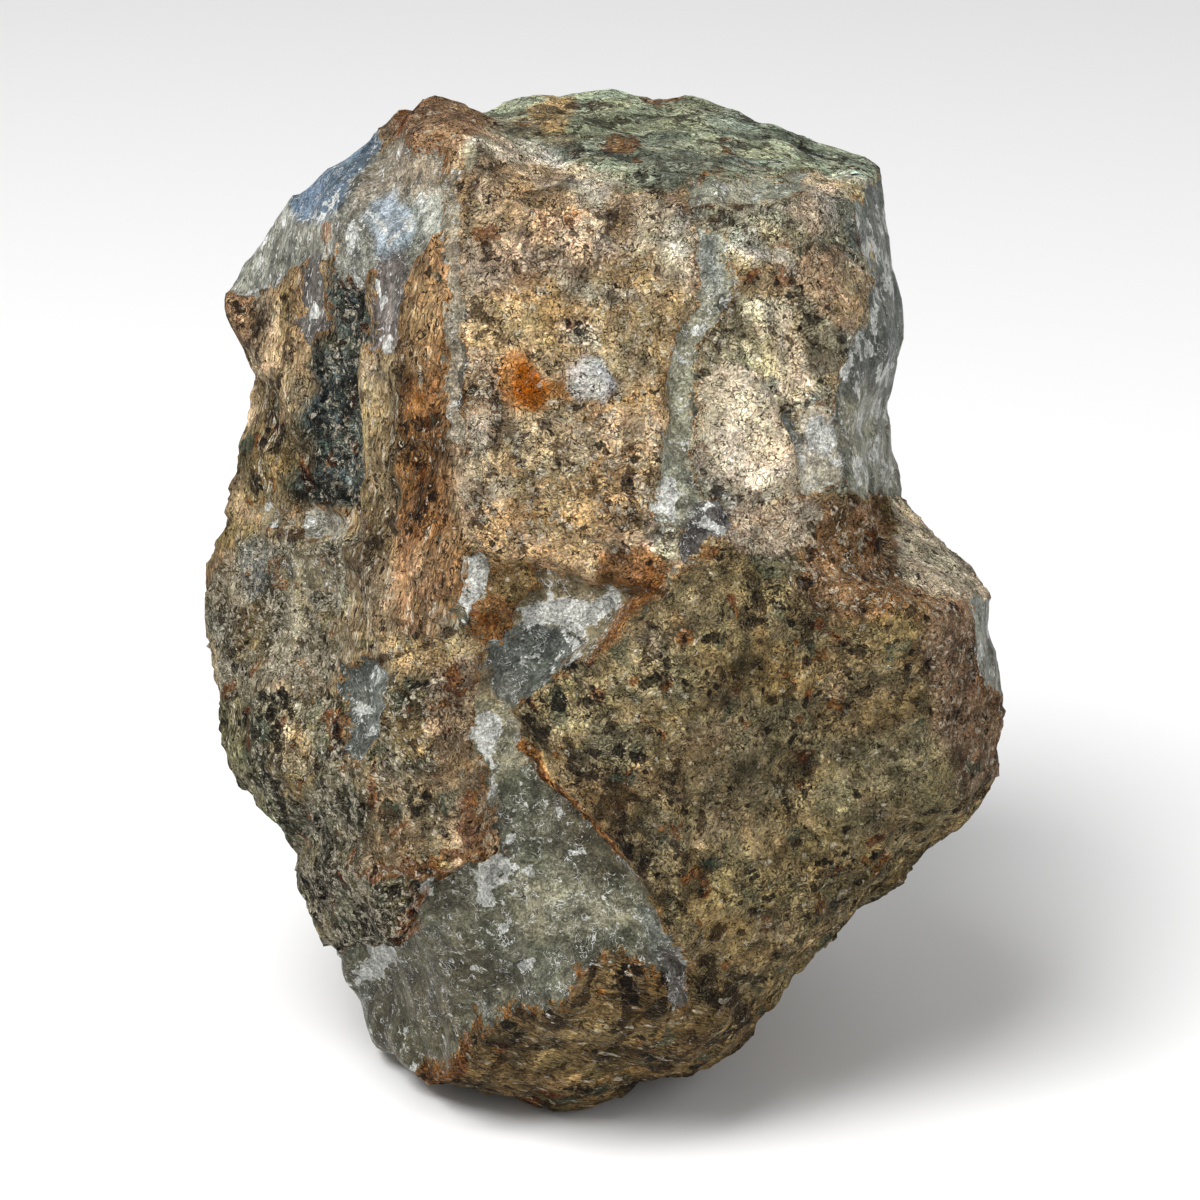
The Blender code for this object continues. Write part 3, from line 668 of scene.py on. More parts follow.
lines("light", 0.3, [(646, 648), (655, 662)], [(669, 694), (686, 706), (682, 735), (669, 768)],
      [(668, 800), (672, 880), (690, 950)], [(288, 690), (322, 765)], [(286, 787), (299, 860)],
      [(270, 700), (300, 760)], [(845, 776), (866, 790), (850, 796)], [(700, 846), (730, 868)],
      [(228, 360), (215, 440), (206, 500)], [(262, 352), (252, 420)], [(280, 300), (262, 350), (244, 430)])
rock("clast_brown", [
    (800, 260), (836, 249), (862, 262), (866, 300), (851, 330), (832, 330), (812, 311), (797, 280),
], height=0.3, pale=0.5)
rock("grey_beige", [(796, 290), (812, 312), (838, 330), (848, 350), (838, 376), (815, 372), (806, 340)],
     grit=0.7, height=-0.2)
rock("white_rock", [(750, 302), (770, 298), (786, 318), (778, 335), (758, 328)], pale=0.6)
rock("olive", [(736, 276), (772, 274), (778, 296), (750, 302), (736, 296)], grit=0.7)
rock("white_rock", [(775, 346), (796, 344), (806, 362), (792, 378), (778, 370)], pale=0.7)
rock("peach", [(782, 378), (802, 374), (816, 388), (806, 404), (786, 400)], pale=0.5)
rock("peach", [
    (700, 384), (722, 370), (752, 378), (770, 396), (784, 425), (794, 460), (800, 476), (785, 491), (760, 498),
    (730, 492), (712, 470), (700, 440), (694, 410),
], height=0.3, grit=0.1, pale=0.7, broken=0.3)
accent("light", [(706, 402), (736, 390), (762, 408), (780, 452), (786, 478), (760, 490), (730, 478)])
lines("dark", 0.3, [(775, 392), (790, 408), (812, 412)], [(712, 470), (735, 494), (765, 500)],
      [(750, 300), (770, 336), (790, 344)], [(800, 256), (790, 280), (806, 320), (822, 350)])
print("patches:", len(PATCHES))

# %% [markdown]
# To paint a patch on, each corner of the grid is put where the viewer sees it and the distance to the
# patch's outline is measured. Inside is positive. The outlines are first bent by a little noise, so
# that no straight drawn line is left. A seam also keeps its distance as a number of its own, because
# the shader turns that into a crisp, ragged edge that is much finer than the grid.


# %% Painting the sighted side
def inside_by(across, up, corners):
    """How far a point lies inside an outline: the smallest distance to a side, negative when outside."""
    corners = np.array(corners, float)
    nearest = np.full(len(across), np.inf)
    crossings = np.zeros(len(across), int)
    for (x0, y0), (x1, y1) in zip(corners, np.roll(corners, -1, axis=0)):
        run, rise = x1 - x0, y1 - y0
        along = np.clip(((across - x0) * run + (up - y0) * rise) / (run**2 + rise**2), 0.0, 1.0)
        nearest = np.minimum(nearest, np.hypot(across - x0 - along * run, up - y0 - along * rise))
        spans = (y0 > up) != (y1 > up)
        safe_rise = rise if rise else 1.0
        crossings += spans & (across < x0 + (up - y0) * run / safe_rise)
    return np.where(crossings % 2, nearest, -nearest)


def line_distance(across, up, path):
    """The smallest distance to a line drawn through the path's points."""
    nearest = np.full(len(across), np.inf)
    for (x0, y0), (x1, y1) in zip(path[:-1], path[1:]):
        run, rise = x1 - x0, y1 - y0
        along = np.clip(((across - x0) * run + (up - y0) * rise) / (run**2 + rise**2), 0.0, 1.0)
        nearest = np.minimum(nearest, np.hypot(across - x0 - along * run, up - y0 - along * rise))
    return nearest


def smooth_step(value):
    """3t^2 - 2t^3 between 0 and 1."""
    value = np.clip(value, 0.0, 1.0)
    return value * value * (3.0 - 2.0 * value)


PICTURE_MIDDLE = 600.0  # the patches' outlines put the stone's middle here, both ways
UNITS_PER_MM = 10.0
BORDER = 3.0  # a patch can be felt this far outside its outline, in millimetres
WANDER_LAYERS = [(7.0, 0.9, 31), (2.6, 0.55, 33), (1.1, 0.3, 35)]  # size, distance, seed


def picture_place(points):
    """Where the viewer sees each point, in millimetres: (x, z) / (1 + y / sight distance)."""
    scale = 1.0 + points[:, 1] / SIGHT_DISTANCE
    across, up = points[:, 0] / scale, points[:, 2] / scale
    for size, distance, seed in WANDER_LAYERS:
        across = across + distance * noise(points, size, seed)
        up = up + distance * noise(points, size, seed + 1)
    return across, up


TEXTURES = ("height", "grit", "streak", "pale", "broken")


def blank_paint(count):
    """No colour and no relief yet: one row for each corner of the grid."""
    paint = {name: np.zeros(count) for name in (*TEXTURES, "lace")}
    paint.update({name: np.full(count, -BORDER) for name in ("seam", *ACCENTS)})
    paint["rock_colour"] = np.tile(bare(*PALETTE["tan"]), (count, 1))
    paint["seam_colour"] = np.tile(bare(*PALETTE["grey"]), (count, 1))
    return paint


def lay_patch(paint, patch, across, up):
    """Lay one patch over the paint: value = old + (new - old) x smooth step of the inside distance.
    A patch's own field takes the larger of its value and the distance, the fields it hides the smaller."""
    outline = (np.array(patch["outline"], float) - PICTURE_MIDDLE) / UNITS_PER_MM * (1, -1)
    low, high = outline.min(0) - BORDER, outline.max(0) + BORDER
    near = np.flatnonzero((across > low[0]) & (across < high[0]) & (up > low[1]) & (up < high[1]))
    if "half_width" in patch:
        inside = patch["half_width"] - line_distance(across[near], up[near], outline)
    else:
        inside = inside_by(across[near], up[near], outline)
    kind = patch["kind"]
    for field in ("seam", *ACCENTS):
        if field == kind:
            paint[field][near] = np.maximum(paint[field][near], inside)
        elif field != "seam" or kind == "rock":
            paint[field][near] = np.minimum(paint[field][near], -inside)
    if kind in ACCENTS:
        return
    weight = smooth_step(inside / patch["edge"] + 0.5)
    for name in TEXTURES:
        paint[name][near] += (patch[name] - paint[name][near]) * weight
    weight = smooth_step(inside / patch["edge"] + (1.0 if patch["edge"] < 1.5 else 0.5))[:, None]
    colour = kind + "_colour"
    paint[colour][near] += (bare(*PALETTE[patch["colour"]]) - paint[colour][near]) * weight


STREAKY = 0.3  # rock with a stronger streak than this has its grain drawn out
WARM = (0.7, 0.0, -1.1)  # what a warmer colour does to red, green and blue
GREEN = (-0.7, 0.35, -0.2)  # what a greener colour does to them
SMALL_PIECES = [(6.5, 81), (3.0, 83)]  # size across and seed of each layer of small pieces
PIECE_SPREAD = 0.3  # how much lighter or darker one small piece is than the next
ACROSS_STRETCH = 2.6  # streaks are drawn out this much
RIB_DIRECTION = (0.24, 0.0, 1.0)
RIB_STRETCH = 4.0
# Size across, light and dark, spread of hue, and seed of each layer of mottling.
MOTTLES = [(11.0, 0.3, 0.08, 101), (5.0, 0.55, 0.09, 103), (2.4, 0.7, 0.06, 105), (1.2, 0.65, 0.03, 107)]
CLUSTERS = [(4.2, 0.7, 121), (1.9, 0.4, 123)]  # size, strength and seed of the clusters of pits and strokes
MOST_HUE = 0.55  # the most that hue varies, however gritty the rock
FLATTENED = 0.45  # the light side of the mottling is pressed this flat, so pieces look plain with dark clusters
# Kind, size across, how much of the noise stays below the spots, and seed.
SPOTS = [("rust", 2.2, 0.74, 111), ("dark", 1.7, 0.62, 113), ("light", 2.0, 0.9, 115), ("green", 2.6, 0.76, 117)]
MORE_IN_SEAMS = {"rust": -1.0, "dark": -0.15, "light": 0.36, "green": -1.0}  # what seams have instead of grit


def drawn_out(points, streak):
    """The points closed up along a streak, so that noise read there comes out long: streaks across,
    or ribs along RIB_DIRECTION where the streak is negative."""
    across = points / [ACROSS_STRETCH, 1.0, 1.0]
    along = np.array(RIB_DIRECTION) / np.linalg.norm(RIB_DIRECTION)
    ribbed = points - np.outer(points @ along, along) * (1.0 - 1.0 / RIB_STRETCH)
    drawn = np.where((streak > STREAKY)[:, None], across, points)
    return np.where((streak < -STREAKY)[:, None], ribbed, drawn)


def mottle(points, paint):
    """Drifts of light and dark, of warm and green: each colour x exp(sum of strength x noise)."""
    drawn = drawn_out(points, paint["streak"])
    value, hue = 0.0, 0.0
    for size, shade, spread, seed in MOTTLES:
        value = value + shade * noise(drawn, size, seed)[:, None]
        warm, green = noise(points, size, seed + 1), noise(points, size, seed + 50)
        hue = hue + spread * (np.outer(warm, WARM) + np.outer(green, GREEN))
    value = np.where(value > 0.0, value * FLATTENED, value)
    strength = 0.2 + 1.7 * paint["grit"][:, None]
    paint["rock_colour"] *= np.exp(value * strength + hue * np.minimum(strength, MOST_HUE))
    paint["seam_colour"] *= np.exp(0.9 * value + 0.4 * hue)


def add_spots(points, paint):
    """Small spots of every kind, more of them in gritty rock: 3 x (noise - level)."""
    for kind, size, level, seed in SPOTS:
        more = np.where(paint["seam"] > 0.0, MORE_IN_SEAMS[kind], np.minimum(paint["grit"] - 0.5, 0.25))
        field = 3.0 * (noise(points, size, seed) - level + more)
        paint[kind] = np.maximum(paint[kind], field)


def gather_grit(points, paint):
    """Grit lies in clusters with plain rock between: grit x (0.6 + sum of strength x noise)."""
    gathered = 0.6 + sum(strength * noise(points, size, seed) for size, strength, seed in CLUSTERS)
    paint["grit"] *= np.clip(gathered, 0.05, 1.5)


def shade_pieces(points, paint):
    """Tell small pieces of rock apart: colour x exp(spread x the cell's own number x broken)."""
    bent = points + np.stack([0.8 * noise(points, 2.5, 91 + axis) for axis in range(3)], axis=1)
    for size, seed in SMALL_PIECES:
        number, _, gap = cells(bent, size, seed)
        rng = np.random.default_rng(seed + 1)
        value = rng.normal(size=(256, 1)) * PIECE_SPREAD
        hue = rng.normal(size=(256, 1)) * WARM * PIECE_SPREAD / 4.0
        paint["rock_colour"] *= np.exp((value + hue)[number] * paint["broken"][:, None])
        joint = 0.4 * paint["broken"] - 0.3 - gap * size / 2
        kind = rng.integers(3, size=256)[number]
        paint["dark"] = np.maximum(paint["dark"], np.where(kind == 0, joint, -BORDER))
        paint["light"] = np.maximum(paint["light"], np.where(kind == 1, joint, -BORDER))


def sighted_paint(points):
    """Every patch laid on in turn, where the viewer sees the points."""
    across, up = picture_place(points)
    paint = blank_paint(len(points))
    for patch in PATCHES:
        lay_patch(paint, patch, across, up)
    add_spots(points, paint)
    shade_pieces(points, paint)
    mottle(points, paint)
    gather_grit(points, paint)
    return paint


lumpy = plain + rays * lumps(plain)[:, None]
front_paint = sighted_paint(lumpy)
print("seam on the sighted side:", int((front_paint["seam"] > 0).sum()), "corners")

# %% [markdown]
# The far side isn't in the picture, but it is the same breccia. Space is divided into large random
# cells, each one a piece of rock with a colour of its own, and where two pieces drew apart the gap
# between them is a seam. At the upper left the blue face carries on round the corner as a wide seam,
# and there the layers that give lace agate its name show: thin white and blue lines that follow the
# walls.

# %% The hidden side
HIDDEN_COLOURS = ["tan", "olive", "clast_brown", "pinkish_tan", "block_brown", "green_grey", "dark_olive",
                  "golden_tan"]
PIECE_SIZE = 21.0  # across one piece of rock on the hidden side
SMALL_PIECE_SIZE = 8.0
SEAM_WIDTH = 1.9  # half the usual gap between two pieces
HIDDEN_START = 3.0  # this far behind the rim the drawn patches begin to give way
HIDDEN_END = 9.0
LACE_SEAM = {"facing": (-0.62, 0.55, 0.56), "distance": 31.0, "half_width": 6.5}


def table_of(values, seed):
    """256 random picks from a list of values."""
    rng = np.random.default_rng(seed)
    return np.array(values, float)[rng.integers(len(values), size=256)]


def hidden_paint(points):
    """Random pieces with seams between: the seam's distance is its half width less half of F2 - F1."""
    bent = points + np.stack([2.2 * noise(points, 9.0, 41 + axis) for axis in range(3)], axis=1)
    bent = bent + np.stack([0.7 * noise(points, 2.5, 45 + axis) for axis in range(3)], axis=1)
    number, _, gap = cells(bent, PIECE_SIZE, 51)
    small, _, small_gap = cells(bent, SMALL_PIECE_SIZE, 53)
    paint = blank_paint(len(points))
    colours = np.array([bare(*PALETTE[name]) for name in HIDDEN_COLOURS])
    rng = np.random.default_rng(55)
    picks = rng.integers(len(colours), size=256)
    paint["rock_colour"] = 0.7 * colours[picks[number]] + 0.3 * colours[picks[small]]
    width = SEAM_WIDTH * (0.75 + 1.1 * noise(points, 15.0, 57))
    wide = width - gap * PIECE_SIZE / 2
    narrow = 0.55 * noise(points, 11.0, 58) - small_gap * SMALL_PIECE_SIZE / 2
    lace = lace_seam(bent)
    paint["seam"] = np.clip(np.maximum(np.maximum(wide, narrow), lace), -BORDER, None)
    greys = np.array([bare(*PALETTE[name]) for name in ("grey", "light_grey", "blue_grey", "warm_grey")])
    paint["seam_colour"] = greys[rng.integers(len(greys), size=256)[small]] * 0.5 + greys[0] * 0.5
    blue = 0.6 * smooth_step(lace / 1.0 + 0.5)[:, None]
    paint["seam_colour"] += (bare(*PALETTE["slate_blue"]) - paint["seam_colour"]) * blue
    paint["lace"] = smooth_step(paint["seam"] / 1.0)
    paint["height"] = 0.35 * (table_of([0.0, 0.5, 1.0], 59)[number] - 0.4) - 0.7 * smooth_step(paint["seam"] / 1.2)
    paint["rust"] = 3.0 * noise(points, 7.0, 61) - 2.2
    paint["dark"] = 3.0 * noise(points, 5.0, 62) - 2.0
    paint["light"] = 3.0 * noise(points, 6.0, 63) - 2.1
    paint["grit"] = table_of([0.4, 0.55, 0.7, 0.8], 65)[number]
    paint["streak"] = table_of([0.0, 0.0, 0.3, -0.7], 64)[number]
    paint["pale"] = table_of([0.2, 0.4, 0.8], 67)[number]
    paint["broken"] = table_of([0.3, 0.5, 0.9], 69)[number]
    add_spots(points, paint)
    shade_pieces(points, paint)
    mottle(points, paint)
    gather_grit(points, paint)
    return paint


def lace_seam(points):
    """The wide blue seam: half its width less the distance to a wavy plane across the stone."""
    facing = np.array(LACE_SEAM["facing"])
    facing = facing / np.linalg.norm(facing)
    distance = points @ facing - LACE_SEAM["distance"] + 2.0 * noise(points, 14.0, 66)
    return LACE_SEAM["half_width"] - np.abs(distance)


def hidden_share(points):
    """0 on the sighted side, 1 where the drawn patches no longer reach, with a ragged change."""
    across, away, up = points.T
    behind = rim_ahead(np.arctan2(up, across)) + away
    behind = behind + 3.0 * noise(points, 7.0, 68)
    return smooth_step((behind - HIDDEN_START) / (HIDDEN_END - HIDDEN_START))


def joined_paint(points, front):
    """The sighted paint and the hidden paint, mixed by the hidden share."""
    back = hidden_paint(points)
    share = hidden_share(points)
    return {
        name: front[name] + (back[name] - front[name]) * (share[:, None] if front[name].ndim == 2 else share)
        for name in front
    }


paint = joined_paint(lumpy, front_paint)
print("seam in all:", round(100 * float((paint["seam"] > 0).mean())), "per cent of the corners")

# %% [markdown]
# Now the relief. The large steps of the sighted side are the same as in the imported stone: pieces that
# stand out and seams that lie back. Over them go chips of three sizes. Rock breaks rough and hackly,
# chalcedony breaks smooth in shallow shells, so the chips are weaker in the seams.

# %% Relief
RELIEF = {
    "knob": (1.9, 4.5, [(-19.5, 48), (-15, 50), (-11, 46), (-11.5, 42), (-16, 41.5), (-20.5, 44)]),
    "grey_hollow": (-2.1, 2.4, [
        (-13, -17), (-10, -27), (-19, -28), (-19, -33), (-26.5, -35), (-25.5, -42), (-17, -46),
        (-12, -43.5), (-8, -40.5), (-2, -37.5), (5, -38), (9, -40), (6.5, -33), (2, -26.5),
        (-3, -20.5), (-9.5, -11.5),
    ]),
    "middle_seam": (-1.7, 2.2, [
        (-14.8, 4.5), (-5.5, 3.0), (5, 1), (9, 4), (6.5, 1.5), (-1, -5), (-9.5, -11.5), (-13, -17),
        (-14.5, -21), (-14.5, -12), (-12.5, -7), (-10.5, -2.5), (-8, 1),
    ]),
    "olive_piece": (1.2, 1.6, [
        (-22, -8.5), (-15, -8), (-14, -16), (-12, -20), (-10.3, -26.8), (-13, -27), (-23, -25.5), (-22, -15),
    ]),
    "black_strip": (-1.8, 2.0, [
        (-26.5, 32), (-24.5, 32), (-23, 28), (-24.2, 23.5), (-24.8, 6), (-32, 8), (-29, 22), (-27, 29),
    ]),
    "rust_rib": (1.0, 1.4, [
        (-17.5, 35.5), (-16, 36), (-15.3, 20), (-15, -2), (-20, -2), (-20, 20), (-19.5, 30),
    ]),
    "mottled_piece": (1.2, 1.6, [
        (-31, -24), (-24, -25.5), (-19.5, -28), (-19, -32), (-20.5, -34.5), (-26, -35.5), (-30, -32),
    ]),
    "bottom_piece": (0.8, 1.6, [
        (-17.5, -47), (-12, -44), (-8, -41), (-2, -38), (5, -38.5), (9, -40.5), (16, -42), (10, -50),
        (-6, -53), (-16, -50),
    ]),
    "cream_piece": (0.9, 1.4, [(10, 20), (16.5, 20), (18, 17), (20, 12.5), (18.5, 11), (14, 10), (10, 14)]),
    "wedge_ridge": (0.8, 1.4, [(7.2, -8.5), (8.8, -9.5), (9.2, -14), (8, -19), (9.2, -30), (7.6, -30), (6.4, -19), (7.6, -13)]),
    "green_seam": (-1.0, 1.6, [(8.5, 31), (12, 29), (9.8, 22), (10.5, 10), (5.5, 10), (6.5, 18), (7.5, 23)]),
}
WANDER = (5.0, 1.6, 21)  # how the edges of the pieces wander: size across, distance, seed
RIBS = [(4.6, 0.8, 77), (2.0, 0.35, 78)]  # size across the ribs, height and seed
CHIPS = [(6.0, 0.55, 0.5, 71), (2.8, 0.4, 0.3, 73), (1.4, 0.22, 0.15, 75)]  # size, height, share in seams, seed


def relief(points):
    """The large steps: rise x smooth step of the inside distance, for each piece and seam."""
    across, away, up = points.T
    scale = 1.0 + away / SIGHT_DISTANCE
    size, distance, seed = WANDER
    across = across / scale + distance * noise(points, size, seed)
    up = up / scale + distance * noise(points, size, seed + 1)
    height = np.zeros(len(points))
    for rise, edge, corners in RELIEF.values():
        height += rise * smooth_step(inside_by(across, up, corners) / edge + 0.5)
    return height * np.clip((NEAR_FADE - away) / NEAR_FADE, 0.0, 1.0)


def ribs(points, paint):
    """Long ribs on the streaky rock at the left: noise drawn out along the ribs, with sharp crests."""
    drawn = drawn_out(drawn_out(points, np.full(len(points), -1.0)), np.full(len(points), -1.0))
    height = np.zeros(len(points))
    for size, rise, seed in RIBS:
        height += rise * (0.6 - 1.6 * np.abs(noise(drawn, size, seed)))
    return height * np.clip(-paint["streak"], 0.0, 1.0)


def fine_relief(points, paint):
    """Chips of three sizes, weaker in the seams, with the small steps between the patches."""
    in_seam = smooth_step(paint["seam"] / 0.8 + 0.5)
    height = paint["height"] - 0.25 * in_seam + ribs(points, paint)
    for size, rise, seam_share, seed in CHIPS:
        strength = rise * (1.0 + (seam_share - 1.0) * in_seam) * (1.0 - 0.5 * np.clip(paint["streak"], 0.0, 1.0))
        height = height + strength * chips(points, size, seed)
    return height


def leaned(points):
    """From the sighted frame to the standing one, in metres, with the flat spot at the origin."""
    lean = radians(LEAN)
    x, y, z = points.T
    standing = np.stack([x, y * cos(lean) + z * sin(lean), z * cos(lean) - y * sin(lean)], axis=1)
    return (standing - [REST_CENTRE[0], REST_CENTRE[1], -REST_DEPTH]) / 1000.0


outwards = lumps(plain) + relief(plain) + fine_relief(lumpy, paint)
surface = leaned(plain + rays * outwards[:, None])
surface = np.clip(surface, *np.array(PACKED_BOX))
print("stone, in millimetres:", (np.ptp(surface, axis=0) * 1000).round(1))

# %% [markdown]
# The grid becomes one closed mesh, the only piece there is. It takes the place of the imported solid.
# The paint goes on as named attributes, one value for each corner, and the shader reads them by name.


# %% The stone's mesh
def stone_object(name, points, squares, paint):
    """A mesh from the whole arrays, shaded smooth, with every row of paint as an attribute."""
    mesh = bpy.data.meshes.new(name)
    mesh.from_pydata(points.tolist(), [], squares.tolist())
    for label, values in paint.items():
        if values.ndim == 2:
            attribute = mesh.attributes.new(label, "FLOAT_COLOR", "POINT")
            colour = np.hstack([values, np.ones((len(values), 1))])
            attribute.data.foreach_set("color", colour.astype(np.float32).ravel())
        else:
            attribute = mesh.attributes.new(label, "FLOAT", "POINT")
            attribute.data.foreach_set("value", values.astype(np.float32))
    mesh.shade_smooth()
    mesh.update()
    stone = bpy.data.objects.new(name, mesh)
    bpy.context.scene.collection.objects.link(stone)
    return stone


geode = stone_object("geode_rough", surface, squares, paint)
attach(geode, "root")
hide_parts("geode")
print("stone mesh:", len(geode.data.vertices), "corners")

# %% [markdown]
# One shader covers rock and seams, because they grade into each other. A small helper keeps the node
# lists short: it makes a node, fills in its numbers and links whatever is a socket.


# %% Node helpers
class Nodes:
    """Short names for the nodes that the stone's finish is built from."""

    def __init__(self, material):
        self.tree = material.node_tree

    def add(self, kind, inputs=None, **settings):
        """A node with its settings, each input either a number or another node's socket."""
        node = self.tree.nodes.new(kind)
        for name, value in settings.items():
            setattr(node, name, value)
        for key, value in (inputs or {}).items():
            if isinstance(value, bpy.types.NodeSocket):
                self.tree.links.new(value, node.inputs[key])
            else:
                node.inputs[key].default_value = value
        return node

    def value(self, name):
        """A number painted on the corners."""
        return self.add("ShaderNodeAttribute", attribute_name=name).outputs["Fac"]

    def colour(self, name):
        """A colour painted on the corners."""
        return self.add("ShaderNodeAttribute", attribute_name=name).outputs["Color"]

    def math(self, operation, a, b=0.0, c=0.0, clamp=False):
        """One sum."""
        node = self.add("ShaderNodeMath", {0: a, 1: b, 2: c}, operation=operation, use_clamp=clamp)
        return node.outputs[0]

    def ramp(self, value, low, high, to_low=0.0, to_high=1.0):
        """A value brought from low..high to to_low..to_high, eased at both ends."""
        inputs = {"Value": value, "From Min": low, "From Max": high, "To Min": to_low, "To Max": to_high}
        return self.add("ShaderNodeMapRange", inputs, interpolation_type="SMOOTHSTEP").outputs["Result"]

    def blend(self, share, a, b):
        """Two places mixed."""
        return self.add("ShaderNodeMix", {0: share, 4: a, 5: b}, data_type="VECTOR").outputs[1]

    def mix(self, share, a, b, blend="MIX"):
        """Two colours mixed."""
        node = self.add("ShaderNodeMix", {0: share, 6: a, 7: b}, data_type="RGBA", blend_type=blend)
        return node.outputs[2]

    def grain(self, place, size, detail=2.0, roughness=0.6, distortion=0.0):
        """Cloudy noise whose lumps are about size millimetres across."""
        inputs = {"Vector": place, "Scale": 1000.0 / size, "Detail": detail, "Roughness": roughness,
                  "Distortion": distortion}
        return self.add("ShaderNodeTexNoise", inputs).outputs["Fac"]

    def shifted(self, place, cloud, distance):
        """A place moved about: place + distance x (cloud - 0.5), the distance in millimetres."""
        centred = self.add("ShaderNodeVectorMath", {0: cloud, 1: (0.5, 0.5, 0.5)}, operation="SUBTRACT")
        inputs = {0: centred.outputs[0], 1: (distance / 1000.0,) * 3, 2: place}
        return self.add("ShaderNodeVectorMath", inputs, operation="MULTIPLY_ADD").outputs[0]

    def crumbs(self, place, size):
        """Random cells about size millimetres across: the distance from each middle, and each cell's own number."""
        node = self.add("ShaderNodeTexVoronoi", {"Vector": place, "Scale": 1000.0 / size})
        return node.outputs["Distance"], node.outputs["Color"]


# %% [markdown]
# The grain is what makes it rock. The mesh already carries everything wider than a millimetre. Finer
# than that, the shader adds a sandy light and dark, crumbs half a millimetre wide, painted shade in
# small holes where crumbs fell out, worm-like marks of painted shade with painted highlights beside
# them, and hairlines: a crease of painted shade with a painted highlight along one edge, and thin
# cream curls. Chalcedony is calmer, in crisp cloudy patches with painted glints in short white
# dashes on its sugary crystals. Every painted distance is roughened by the same cloud before it
# becomes an edge.

# %% The stone's finish
# Cream for the curls, and for the painted highlight along one edge of each crease.
CREAM_CURL_AND_HIGHLIGHT = (226, 214, 186)
# The painted shade in small holes where crumbs fell out.
PIT_SHADE = (22, 17, 13)
# The painted shade down the creases.
CREASE_SHADE = (44, 34, 25)
RUST_STAIN = (154, 100, 50)
DEEP_RUST = (106, 54, 28)
DARKENED_SPOT_AND_SHADE = (0.2, 0.18, 0.17, 1.0)  # what a dark spot, or a worm mark of painted shade, leaves of each colour
LIGHTENED_SPOT_AND_HIGHLIGHT = (1.66, 1.7, 1.78, 1.0)  # what a light spot, or a worm's painted highlight, makes of it
GREEN_STAIN = (84, 98, 80)
PALE_ROCK = (206, 196, 174)
# Painted glints on the chalcedony's sugary crystals.
SUGAR_GLINT = (244, 244, 240)
# Dark patches of the chalcedony, and the painted shade down its creases.
DARK_SEAM_AND_CREASE_SHADE = (78, 80, 74)
# Pale patches of the chalcedony, and the short white dashes drawn in it, which are painted glints.
PALE_SEAM_AND_GLINT = (218, 219, 212)
LACE_WHITE = (192, 198, 198)
LACE_BLUE = (118, 134, 150)


def paint_value(colour):
    """A colour as seen, as a shader input."""
    return (*bare(*colour).tolist(), 1.0)


class Grain:
    """The noises that rock and seams share, made once."""

    def __init__(self, n, place):
        streak = n.value("streak")
        across = n.add("ShaderNodeMapping", {"Vector": place, "Rotation": (0.0, 0.3, 0.1),
                                             "Scale": (ACROSS_STRETCH, 1.0, 0.7)}, vector_type="TEXTURE")
        ribbed = n.add("ShaderNodeMapping", {"Vector": place, "Rotation": (-0.35, 0.24, 0.0),
                                             "Scale": (0.9, 0.9, RIB_STRETCH)}, vector_type="TEXTURE")
        along = n.blend(n.math("GREATER_THAN", streak, STREAKY), place, across.outputs[0])
        along = n.blend(n.math("LESS_THAN", streak, -STREAKY), along, ribbed.outputs[0])
        cloud = n.add("ShaderNodeTexNoise", {"Vector": place, "Scale": 1000.0 / 1.2, "Detail": 2.0,
                                             "Roughness": 0.65}).outputs["Color"]
        parts = n.add("ShaderNodeSeparateXYZ", {0: cloud}).outputs
        warped = n.shifted(along, cloud, 0.7)
        self.clumps, self.share = parts["Y"], parts["Z"]
        self.sand = n.grain(warped, 0.28, 2.0, 0.8)
        self.worms = n.math("SINE", n.math("MULTIPLY", n.grain(warped, 1.5, 2.0, 0.5), 54.0))
        self.tint = n.add("ShaderNodeVectorMath", {0: cloud, 1: (0.2,) * 3, 2: (0.9,) * 3},
                          operation="MULTIPLY_ADD").outputs[0]
        self.crease = n.grain(warped, 0.75, 2.0, 0.6)
        self.curl = n.grain(along, 0.9, 1.0, 0.5, 1.6)
        self.crumb_distance, self.crumb = n.crumbs(warped, 0.5)
        self.pit_distance, self.pit = n.crumbs(n.shifted(place, cloud, 1.4), 1.4)
        edge = n.math("MULTIPLY_ADD", parts["X"], 2.2, -1.1)
        self.ragged = n.math("ADD", edge, n.math("MULTIPLY_ADD", self.crumb, 0.3, -0.15))


def thin_lines(n, grain, middle, width):
    """1 along the noise's contour at middle, 0 a little way off it."""
    off = n.math("ABSOLUTE", n.math("SUBTRACT", grain, middle))
    return n.ramp(off, width * 0.4, width, 1.0, 0.0)


def field_share(n, grain, field):
    """Where a painted distance, roughened, is positive."""
    return n.ramp(n.math("ADD", n.value(field), grain.ragged), -0.06, 0.06)


def shaded(n, colour, grain, low, high, dark, light):
    """A colour times a noise that runs from dark at its low to light at its high."""
    return n.mix(1.0, colour, n.ramp(grain, low, high, dark, light), "MULTIPLY")


